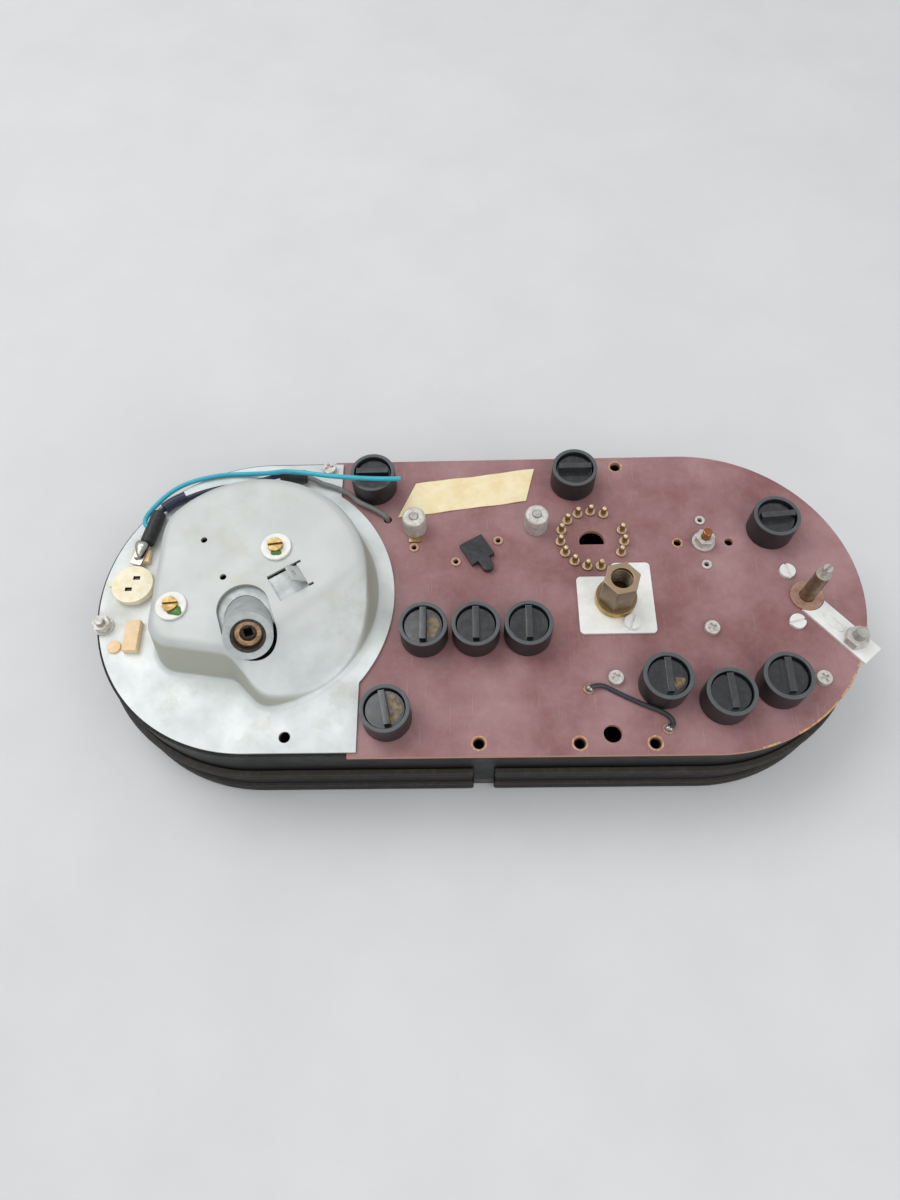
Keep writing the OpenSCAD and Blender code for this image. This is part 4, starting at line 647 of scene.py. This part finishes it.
def cover_mesh():
    """Outer skin of the plate and the drawn can, in millimetres."""
    centre = Vector(CAN_CENTRE)
    n, inner = 300, 18
    profile = can_profile()
    rays = [Vector(p) for p in circle(0, 0, 1, n)]
    rows = [[(ray * ray_length(ray, inset), wall) for ray in rays] for inset, wall in profile]
    rows += [[(p * (1 - k / inner), wall) for p, wall in rows[len(profile) - 1]] for k in range(1, inner)]
    points = [(*(centre + p), COVER_TOP + can_height(p, wall)) for row in rows for p, wall in row]
    faces = quads(len(rows), n)
    base = (len(rows) - 1) * n
    points.append((*centre, CAN_TOP))
    faces += [(base + i, base + (i + 1) % n, base + n) for i in range(n)]
    points[:n] = [(x, y, COVER_TOP) for x, y, _ in points[:n]]
    verts, keep = fill([cover_outline(), points[:n]] + [circle(*hole) for hole in PLATE_HOLES])
    first = len(points)
    points += [(x, y, COVER_TOP) for x, y in verts]
    faces += [tuple(first + i for i in f) for f in keep]
    return points, faces


def beside_port(points):
    """Points given along and across the port's run, as places on the cover."""
    out = Vector((math.sin(PORT_TURN), -math.cos(PORT_TURN)))
    return [(AXIS_X + u * out.x - v * out.y, u * out.y + v * out.x) for u, v in points]


def port_oval():
    """The port's oval opening in the can's top."""
    far, near = PORT_ENDS
    return beside_port(arc(far, 0, PORT_ROOM, -90, 90, 24) + arc(near, 0, PORT_ROOM, 90, 270, 24))


def port_shoulder():
    """Outline of the casting's shoulder behind the opening, open where the port's boss comes through it."""
    wide, front, boss, across, slant = 9.6, 22.0, 19.5, 7.5, 10.6
    side = math.degrees(math.acos((front - boss) / slant))
    bite = [(boss + slant * math.cos(a), across * math.sin(a)) for a in angles(360 - side, side, 24)]
    return beside_port([(front, wide)] + arc(PORT_ENDS[1], 0, wide, 90, 270, 24) + [(front, -wide)] + bite)


def lanced_window():
    """Outline of the lanced window, with a slit at each end of the tab's bend."""
    a, edge, slit, wide = LANCED_TURN, LANCED_WIDTH / 2, 1.7, 0.9
    out, back = edge + slit, edge - wide
    return [(LANCED[0] + u * math.cos(a) - v * math.sin(a), LANCED[1] + u * math.sin(a) + v * math.cos(a))
            for u, v in ((-edge, -edge), (out, -edge), (out, -back), (edge, -back), (edge, back), (out, back),
                         (out, edge), (-edge, edge))]


def bent_tab():
    """The lanced tab that leans over its window, with its hole."""
    wide, tall, corner, lean = 6.5, 6.5, 1.4, math.radians(38)
    half = wide / 2
    outline = [(-half, 0), (half, 0)] + arc(half - corner, tall - corner, corner, 0, 90, 6)
    outline += arc(corner - half, tall - corner, corner, 90, 180, 6)
    verts, keep = fill([outline, circle(0, 4.0, 0.95, 20)])
    turn = Matrix.Rotation(LANCED_TURN, 3, "Z")
    base = Vector((*LANCED, CAN_TOP - 0.5)) + turn @ Vector((LANCED_WIDTH / 2, 0, 0))
    return [tuple(base + turn @ Vector((-v * math.sin(lean), u, v * math.cos(lean)))) for u, v in verts], keep


# Dial print


def tick_tree():
    """Geometry nodes that set ticks round part of a circle."""
    tree, given = new_tree("dial_ticks", Radius="Float", Start="Float", Sweep="Float", Count="Int", Tick="Vector",
                           Centre="Vector")
    round_part = add(tree, "GeometryNodeCurveArc", Resolution=given["Count"], Radius=given["Radius"],
                     Start_Angle=given["Start"], Sweep_Angle=given["Sweep"])
    marks = add(tree, "GeometryNodeCurveToPoints", {"mode": "EVALUATED"}, Curve=round_part.outputs[0])
    bar = add(tree, "GeometryNodeMeshCube", Size=given["Tick"])
    place = add(tree, "GeometryNodeInputPosition").outputs[0]
    turned = add(tree, "FunctionNodeAlignRotationToVector", {"axis": "X"}, Vector=place)
    set_out = add(tree, "GeometryNodeInstanceOnPoints", Points=marks.outputs[0], Instance=bar.outputs[0],
                  Rotation=turned.outputs[0])
    moved = add(tree, "GeometryNodeTransform", Geometry=set_out.outputs[0], Translation=given["Centre"])
    return paint(tree, moved, "print")


def digits(name, words, size, finish_name, body, slot):
    """Printed numbers as one mesh: each word has its text and a matrix that places it."""
    bm = bmesh.new()
    for text, matrix in words:
        curve = bpy.data.curves.new("number", "FONT")
        curve.body = text
        curve.size = size * MM
        curve.align_x = "CENTER"
        curve.align_y = "CENTER"
        curve.extrude = 0.02 * MM
        curve.resolution_u = 3
        holder = bpy.data.objects.new("number", curve)
        bpy.context.scene.collection.objects.link(holder)
        graph = bpy.context.evaluated_depsgraph_get()
        mesh = bpy.data.meshes.new_from_object(holder.evaluated_get(graph), depsgraph=graph)
        mesh.transform(matrix)
        bm.from_mesh(mesh)
        bpy.data.objects.remove(holder)
        bpy.data.meshes.remove(mesh)
        bpy.data.curves.remove(curve)
    bmesh.ops.recalc_face_normals(bm, faces=bm.faces)
    mesh = bpy.data.meshes.new(name)
    bm.to_mesh(mesh)
    bm.free()
    return ride_as(new_object(name, mesh, finish_name), body, slot=slot)


# Sizes and colours


def size_value(name, description, size):
    """A length that a user can change, with its default in millimetres."""
    return bpy.props.FloatProperty(name=name, description=description, default=size * MM, unit="LENGTH")


def colour_value(name, description, code):
    """A colour that a user can change."""
    return bpy.props.StringProperty(name=name, description=description, default=code)


class ClusterLooks(bpy.types.PropertyGroup):
    """Sizes and colours of the dressed cluster."""

    edge: bpy.props.FloatProperty(name="Edge scale", description="Scale of all rounded edges", default=1.0, min=0.2,
                                  max=2.0)
    sheet: size_value("Sheet thickness", "Thickness of the speedometer cover", 1.0)
    wire: size_value("Loose wire", "Diameter of the loose wire", 1.7)
    lead: size_value("Leads", "Diameter of the fixed leads", 1.9)
    tape: size_value("Tape thickness", "Thickness of the paper tape", 0.25)
    board_colour: colour_value("Board", "Hex colour of the laminate", "#865859")
    plate_colour: colour_value("Cover", "Hex colour of the cover", "#DDE2E1")
    wire_colour: colour_value("Wire", "Hex colour of the loose wire", "#2FA8BE")


class CLUSTER_OT_stage(bpy.types.Operator):
    """Floor, soft light and a camera at the photograph's angle"""

    bl_idname = "cluster.stage"
    bl_label = "Stage"

    def execute(self, context):
        scene = context.scene
        scene.view_settings.view_transform = "Standard"
        world = bpy.data.worlds.new("studio")
        scene.world = world
        world.use_nodes = True
        tree = world.node_tree
        tree.nodes.clear()
        sky = add(tree, "ShaderNodeBackground", Color=linear("#F4F5F6"), Strength=0.66)
        add(tree, "ShaderNodeOutputWorld", Surface=sky.outputs[0])
        half = 3000
        corners = [(-half, -half, 0), (half, -half, 0), (half, half, 0), (-half, half, 0)]
        floor = new_object("floor", mesh_of("floor", corners, [(0, 1, 2, 3)]))
        # Matt painted board, pale grey
        floor.data.materials.append(finish("pale_floor_paint", "#D9DADB", "#D4D5D6", 60, (0.75, 0.85)))
        for name, place, size, power in (("key", (-0.5, 0.35, 0.95), 0.7, 4.6), ("fill", (0.5, -0.6, 0.8), 0.9, 3.6)):
            lamp = bpy.data.lights.new(name, "AREA")
            lamp.size = size
            lamp.energy = power
            holder = bpy.data.objects.new(name, lamp)
            scene.collection.objects.link(holder)
            holder.location = place
            holder.rotation_euler = (-Vector(place)).to_track_quat("-Z", "Y").to_euler()
        pitch, roll, yaw = (math.radians(angle) for angle in CAMERA_TURNS)
        ahead = Vector((math.sin(yaw) * math.cos(pitch), math.cos(yaw) * math.cos(pitch), -math.sin(pitch)))
        level = Vector((math.cos(yaw), -math.sin(yaw), 0))
        rise = level.cross(ahead)
        right = math.cos(roll) * level + math.sin(roll) * rise
        up = -math.sin(roll) * level + math.cos(roll) * rise
        lens = bpy.data.cameras.new("view")
        lens.sensor_fit = "VERTICAL"
        lens.sensor_height = 36.0
        lens.lens = FOCAL_PIXELS / PICTURE_PIXELS * lens.sensor_height
        lens.clip_start = 0.01
        camera = bpy.data.objects.new("view", lens)
        scene.collection.objects.link(camera)
        turn = Matrix((right, up, -ahead)).transposed().to_4x4()
        camera.matrix_world = Matrix.Translation((Vector(CAMERA_PLACE) + Vector((0, 0, BOARD_TOP))) * MM) @ turn
        scene.camera = camera
        return {"FINISHED"}


class CLUSTER_OT_finishes(bpy.types.Operator):
    """Finishes for all pieces, and for the solids that keep their own mesh"""

    bl_idname = "cluster.finishes"
    bl_label = "Finishes"

    def execute(self, context):
        looks = context.scene.cluster_looks
        FINISH.clear()
        FINISH.update(make_finishes(looks))
        for node, name in KEPT.items():
            mesh = frame["nodes"][node].data
            mesh.materials.clear()
            mesh.materials.append(FINISH[name])
        return {"FINISHED"}


class CLUSTER_OT_loose_wire(bpy.types.Operator):
    """The light blue wire with its cut end"""

    bl_idname = "cluster.loose_wire"
    bl_label = "Loose wire"

    def execute(self, context):
        size = context.scene.cluster_looks.wire
        obj, line = make_wire("loose_wire_tube", "loose_wire", LOOSE, (-ARC_X, 0), size, "teal")
        return {"FINISHED"}


class CLUSTER_OT_leads(bpy.types.Operator):
    """The fixed leads with their wrap, and the jumper on the board"""

    bl_idname = "cluster.leads"
    bl_label = "Leads"

    def execute(self, context):
        size = context.scene.cluster_looks.lead
        make_wire("blue_lead_tube", "blue_lead", BLUE, (-ARC_X, 0), size, "blue")
        make_wire("grey_lead_tube", "grey_lead", GREY, (-ARC_X, 0), size, "grey")
        make_wire("jumper_tube", "jumper_wire", JUMPER, JUMPER_START, JUMPER_SIZE * MM, "dark")
        wrap = [p / MM for p in spread(WRAP, (-ARC_X, 0))]
        make_tubes("lead_wrap", [wrap], WRAP_SIZE, "blue", "blue_insulation")
        return {"FINISHED"}


class CLUSTER_OT_cover(bpy.types.Operator):
    """The speedometer's sheet cover with its drawn can, openings and bent tab"""

    bl_idname = "cluster.cover"
    bl_label = "Sheet cover"

    def execute(self, context):
        sheet = context.scene.cluster_looks.sheet
        points, faces = cover_mesh()
        bm = bmesh.new()
        bm.from_mesh(mesh_of("cover_skin", points, faces))
        bmesh.ops.remove_doubles(bm, verts=bm.verts, dist=1e-6)
        mesh = bpy.data.meshes.new("cover_skin")
        bm.to_mesh(mesh)
        bm.free()
        obj = new_object("cover_skin", mesh, "plate")
        modify(obj, "SOLIDIFY", thickness=sheet, offset=-1.0)
        loops = [port_oval(), lanced_window()]
        loops += [circle(*place, SCREW_ROOM) for place in COVER_SCREWS]
        loops += [circle(*place, PIN_ROOM, 20) for place in PINHOLES]
        low, high = COVER_TOP + 2, CAN_TOP + 3
        cutter_points, cutter_faces = [], []
        for loop in loops:
            p, f = prism(loop, low, high)
            cutter_faces += [tuple(i + len(cutter_points) for i in face) for face in f]
            cutter_points += p
        cutter = new_object("cover_cutter", mesh_of("cover_cutter", cutter_points, cutter_faces))
        modify(obj, "BOOLEAN", operation="DIFFERENCE", object=cutter, solver="EXACT")
        settle(obj, "speedometer_cover", angle=40)
        bpy.data.objects.remove(cutter)
        tab = new_object("cover_tab", mesh_of("cover_tab", *bent_tab()), "plate")
        modify(tab, "SOLIDIFY", thickness=0.8 * sheet, offset=0.0)
        modify(tab, "BEVEL", width=0.15 * MM, segments=2, limit_method="ANGLE")
        settle(tab, slot="plated_steel")
        edge, turn = LANCED_WIDTH / 2, Matrix.Rotation(LANCED_TURN, 2)
        corners = ((-edge - 1, -edge - 1), (edge + 0.2, -edge - 1), (edge + 0.2, edge - 0.7), (-edge - 1, edge - 0.7))
        outline = [tuple(Vector(LANCED) + turn @ Vector(p)) for p in corners]
        for name, loop, low in (("window_back", outline, CAN_TOP - 1.9), ("port_back", port_shoulder(), CAN_TOP - 2.6)):
            back = new_object(name, mesh_of(name, *prism(loop, low, low + 0.9)), "casting")
            ride_as(back, ROOT, slot="die_cast")
        return {"FINISHED"}


class CLUSTER_OT_fittings(bpy.types.Operator):
    """Case, board and fittings with rounded edges"""

    bl_idname = "cluster.fittings"
    bl_label = "Fittings"

    def execute(self, context):
        scale = context.scene.cluster_looks.edge
        for node, (name, width) in SOFTENED.items():
            soften(node, name, width * scale)
        return {"FINISHED"}


class CLUSTER_OT_tape(bpy.types.Operator):
    """The strip of yellowed paper tape on the board"""

    bl_idname = "cluster.tape"
    bl_label = "Paper tape"

    def execute(self, context):
        thick = context.scene.cluster_looks.tape
        upper = Vector((-21.8, 46.9)), Vector((22.4, 52.6))
        lower = Vector((-28.2, 32.2)), Vector((18.8, 38.4))
        across, along = 10, 36
        points = []
        for i in range(along + 1):
            t = i / along
            a = upper[0].lerp(upper[1], t) + Vector((0, 0.15 * math.sin(9 * t)))
            b = lower[0].lerp(lower[1], t) + Vector((0, 0.1 * math.sin(13 * t + 1)))
            for k in range(across + 1):
                s = k / across
                p = a.lerp(b, s)
                lift = 0.1 + 0.1 * (1 + math.sin(23 * t + 5 * s)) * (1 if 0 < i < along else 0.4)
                points.append((p.x, p.y, BOARD_TOP + lift))
        faces = quads(along + 1, across + 1, closed=False)
        obj = new_object("paper_tape", mesh_of("paper_tape", points, faces), "tape")
        modify(obj, "SOLIDIFY", thickness=thick, offset=1.0)
        settle(obj, slot="cream_plastic", angle=60)
        return {"FINISHED"}


class CLUSTER_OT_drops(bpy.types.Operator):
    """Lacquer on the cover screws, solder at the tag and the jumper's ends, and old glue in three lamp holders"""

    bl_idname = "cluster.drops"
    bl_label = "Lacquer, solder and glue"

    def execute(self, context):
        washer = CAN_TOP + 1.2
        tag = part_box("lamp_tag")[1].z / MM
        start, end = JUMPER[0], JUMPER[-1]
        for name, place, reach, finish_name, slot in (
                ("lacquer_right", (-66.0, 6.3, washer), (1.7, 1.5, 0.75), "lacquer", "cream_plastic"),
                ("lacquer_left", (-96.6, -14.9, washer), (2.3, 1.7, 0.75), "lacquer", "cream_plastic"),
                ("solder_start", (JUMPER_START[0] + start[0], JUMPER_START[1] + start[1], BOARD_TOP + 0.9),
                 (1.35, 1.2, 1.1), "solder", "plated_fastener"),
                ("solder_end", (JUMPER_START[0] + end[0], JUMPER_START[1] + end[1], BOARD_TOP + 0.9),
                 (1.3, 1.25, 1.1), "solder", "plated_fastener"),
                ("solder_tag", (-119.2, 18.6, tag - 0.3), (2.2, 3.4, 1.0), "solder", "plated_fastener")):
            bm = bmesh.new()
            bmesh.ops.create_uvsphere(bm, u_segments=24, v_segments=12, radius=1.0)
            for v in bm.verts:
                wobble = 1 + 0.16 * math.sin(3 * math.atan2(v.co.y, v.co.x) + place[0])
                shape = Vector((v.co.x * reach[0] * wobble, v.co.y * reach[1] * wobble, max(v.co.z, -0.15) * reach[2]))
                v.co = (Vector(place) + shape) * MM
            mesh = bpy.data.meshes.new(name)
            bm.to_mesh(mesh)
            bm.free()
            obj = new_object(name, mesh, finish_name)
            smooth(obj, 60)
            ride_as(obj, ROOT, slot=slot)
        face, thin = BOARD_TOP + 8.4, 0.06
        for lamp, first, last in ((4, -60, 50), (7, -70, 75), (8, -60, -5)):
            x, y = LAMPS[lamp - 1]
            turns = angles(first, last, 16)
            edges = [(a, 5.3 + 0.25 * math.sin(6 * a + x)) for a in turns]
            edges += [(a, 2.2 + 0.5 * math.sin(5 * a + x)) for a in reversed(turns)]
            outline = [(x + r * math.cos(a), y + r * math.sin(a)) for a, r in edges]
            points, faces = fill([outline])
            film = mesh_of(f"glue_{lamp}", [(*p, face + thin) for p in points], faces)
            obj = new_object(f"glue_{lamp}", film, "glue")
            modify(obj, "SOLIDIFY", thickness=thin * MM, offset=-1.0)
            plain(obj)
            ride_as(obj, f"lamp_{lamp}", slot="cream_plastic")
        return {"FINISHED"}


class CLUSTER_OT_trim(bpy.types.Operator):
    """The board's torn rims and edge, the strap's rib, the union's thread, a dark ring of painted shade in the port and
    a terminal's tab
    """

    bl_idname = "cluster.trim"
    bl_label = "Rims, rib and thread"

    def execute(self, context):
        rims = [[(*p, BOARD_TOP - 0.12) for p in circle(x, y, r + 0.45, 32)] for x, y, r in BOARD_HOLES]
        make_tubes("hole_rims", rims, 0.7, "raw_laminate", "phenolic", closed=True)
        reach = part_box("circuit_board")[1].x / MM - ARC_X - 0.2
        edge = [[(x, -reach, BOARD_TOP - 0.2) for x in (-38, 20, ARC_X)]]
        chips = []
        for lines, turns in ((edge, ((-90, -8),)),
                             (chips, ((-76, -70), (-63, -45), (-43, -32), (-30, -21), (-18, -14)))):
            lines += [[(*p, BOARD_TOP - 0.25) for p in arc(ARC_X, 0, reach, *turn, 24)] for turn in turns]
        make_tubes("board_edge", edge, 0.35, "raw_laminate", "phenolic")
        make_tubes("edge_chips", chips, 0.8, "raw_laminate", "phenolic")
        half, radius, turn = 2.4, 1.5, Matrix.Rotation(STRAP_TURN, 2)
        oval = arc(half, 0, radius, -90, 90, 12) + arc(-half, 0, radius, 90, 270, 12)
        rib = [(*(STRAP_RIB + turn @ Vector(p)), BOARD_TOP + 1.0) for p in oval]
        make_tubes("strap_rib", [rib], 0.6, "nickel", "plated_steel", closed=True)
        pitch, rounds, sides, bore, low = 1.0, 8, 28, 3.62, 44.2
        helix = arc(*PRESSURE, bore, 0, 360 * rounds, sides * rounds)
        thread = [(*p, low + pitch * i / sides) for i, p in enumerate(helix)]
        make_tubes("union_thread", [thread], 0.55, "union", "brass")
        end = (Matrix.Translation((AXIS_X, 0, GEAR_Z)) @ Matrix.Rotation(PORT_TURN, 4, "Z")
               @ Matrix.Rotation(PORT_TILT, 4, "X") @ Matrix.Translation((0, 0, PORT_REACH)))
        # A dark ring of painted shade lining the port's bore and its face round the bush
        n, film = 48, ((4.1, -2.5), (4.65, -2.5), (4.65, 0.08), (5.5, 0.08))
        points = [tuple(end @ Vector((*p, z))) for r, z in film for p in circle(0, 0, r, n)]
        shade_ring = new_object("port_shade_ring", mesh_of("port_shade_ring", points, quads(len(film), n)), "oiled_and_shade")
        modify(shade_ring, "SOLIDIFY", thickness=0.05 * MM, offset=0.0)
        settle(shade_ring, slot="bronze")
        x, y, half, deep, thick = -21.85, 21.6, 2.2, 3.6, 0.7
        outline = [(x - half, y), (x + half, y), (x + half, y + deep), (x - half, y + deep)]
        points, faces = prism(outline, BOARD_TOP, BOARD_TOP + thick)
        tab = new_object("terminal_tab", mesh_of("terminal_tab", points, faces), "brass")
        modify(tab, "BEVEL", width=0.2 * MM, segments=3, limit_method="ANGLE")
        settle(tab, slot="brass")
        return {"FINISHED"}


class CLUSTER_OT_dial(bpy.types.Operator):
    """Ticks and numbers on the dial and the counter's drums"""

    bl_idname = "cluster.dial"
    bl_label = "Dial print"

    def execute(self, context):
        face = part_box("dial_plate")[0].z / MM - 0.02
        sets = [("ticks_fine", (AXIS_X, 0.0), 45.4, DIAL_START, DIAL_SWEEP, 61, (2.2, 0.35)),
                ("ticks_main", (AXIS_X, 0.0), 44.6, DIAL_START, DIAL_SWEEP, 13, (3.8, 0.8))]
        sets += [(f"ticks_gauge_{i}", g, 17.0, 45, 90, 9, (2.0, 0.4))
                 for i, g in enumerate((FUEL, PRESSURE, TEMPERATURE), 1)]
        for name, (x, y), radius, start, sweep, count, (long, wide) in sets:
            obj = new_object(name, mesh_of(name, [(0, 0, 0)], []))
            set_inputs(obj, tick_tree(), Radius=radius * MM, Start=math.radians(start), Sweep=math.radians(sweep),
                       Count=count, Tick=(long * MM, wide * MM, 0.03 * MM), Centre=(x * MM, y * MM, face * MM))
            plain(obj)
            ride_as(obj, ROOT, slot="drum_white")
        flip = Matrix.Rotation(math.pi, 4, "Y")
        numbers = enumerate(arc(AXIS_X, 0, 37.0, DIAL_START, DIAL_START + DIAL_SWEEP, 6))
        words = [(str(20 * k), Matrix.Translation(Vector((*p, face)) * MM) @ flip) for k, p in numbers]
        digits("dial_numbers", words, 6.0, "print", ROOT, "drum_white")
        low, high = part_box("odometer_first_drum")
        half_drum, gap, pitch, reach = 2.3 * MM, 0.2 * MM, 4.8 * MM, 7.01 * MM
        out = Matrix.Translation((0, 0, -reach)) @ flip
        axle_y, axle_z = (low.y + high.y) / 2, (low.z + high.z) / 2
        first = Matrix.Translation((low.x + half_drum, axle_y, axle_z))
        words = [(str(k), first @ Matrix.Rotation(math.radians(36 * k), 4, "X") @ out) for k in range(10)]
        digits("first_drum_numbers", words, 4.0, "dial", "counter_drum", "drum_black")
        words = [(digit, Matrix.Translation((low.x - gap - half_drum - pitch * i, axle_y, axle_z)) @ out)
                 for i, digit in enumerate("3714")]
        digits("drum_numbers", words, 4.0, "print", ROOT, "drum_white")
        return {"FINISHED"}


class CLUSTER_PT_panel(bpy.types.Panel):
    """Sizes, colours and steps of the cluster's looks"""

    bl_idname = "CLUSTER_PT_panel"
    bl_label = "Instrument cluster"
    bl_space_type = "VIEW_3D"
    bl_region_type = "UI"
    bl_category = "Cluster"

    def draw(self, context):
        for name in ClusterLooks.__annotations__:
            self.layout.prop(context.scene.cluster_looks, name)
        for step in STEPS:
            self.layout.operator(step.bl_idname)


STEPS = (CLUSTER_OT_stage, CLUSTER_OT_finishes, CLUSTER_OT_loose_wire, CLUSTER_OT_leads, CLUSTER_OT_cover,
         CLUSTER_OT_fittings, CLUSTER_OT_tape, CLUSTER_OT_drops, CLUSTER_OT_trim, CLUSTER_OT_dial)
CLASSES = (ClusterLooks, *STEPS, CLUSTER_PT_panel)


def register():
    for cls in CLASSES:
        bpy.utils.register_class(cls)
    bpy.types.Scene.cluster_looks = bpy.props.PointerProperty(type=ClusterLooks)


def unregister():
    del bpy.types.Scene.cluster_looks
    for cls in reversed(CLASSES):
        bpy.utils.unregister_class(cls)


def main():
    register()
    bpy.ops.cluster.stage()
    bpy.ops.cluster.finishes()
    bpy.ops.cluster.loose_wire()
    bpy.ops.cluster.leads()
    bpy.ops.cluster.cover()
    bpy.ops.cluster.fittings()
    bpy.ops.cluster.tape()
    bpy.ops.cluster.drops()
    bpy.ops.cluster.trim()
    bpy.ops.cluster.dial()
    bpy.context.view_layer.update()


if __name__ == "__main__":
    main()
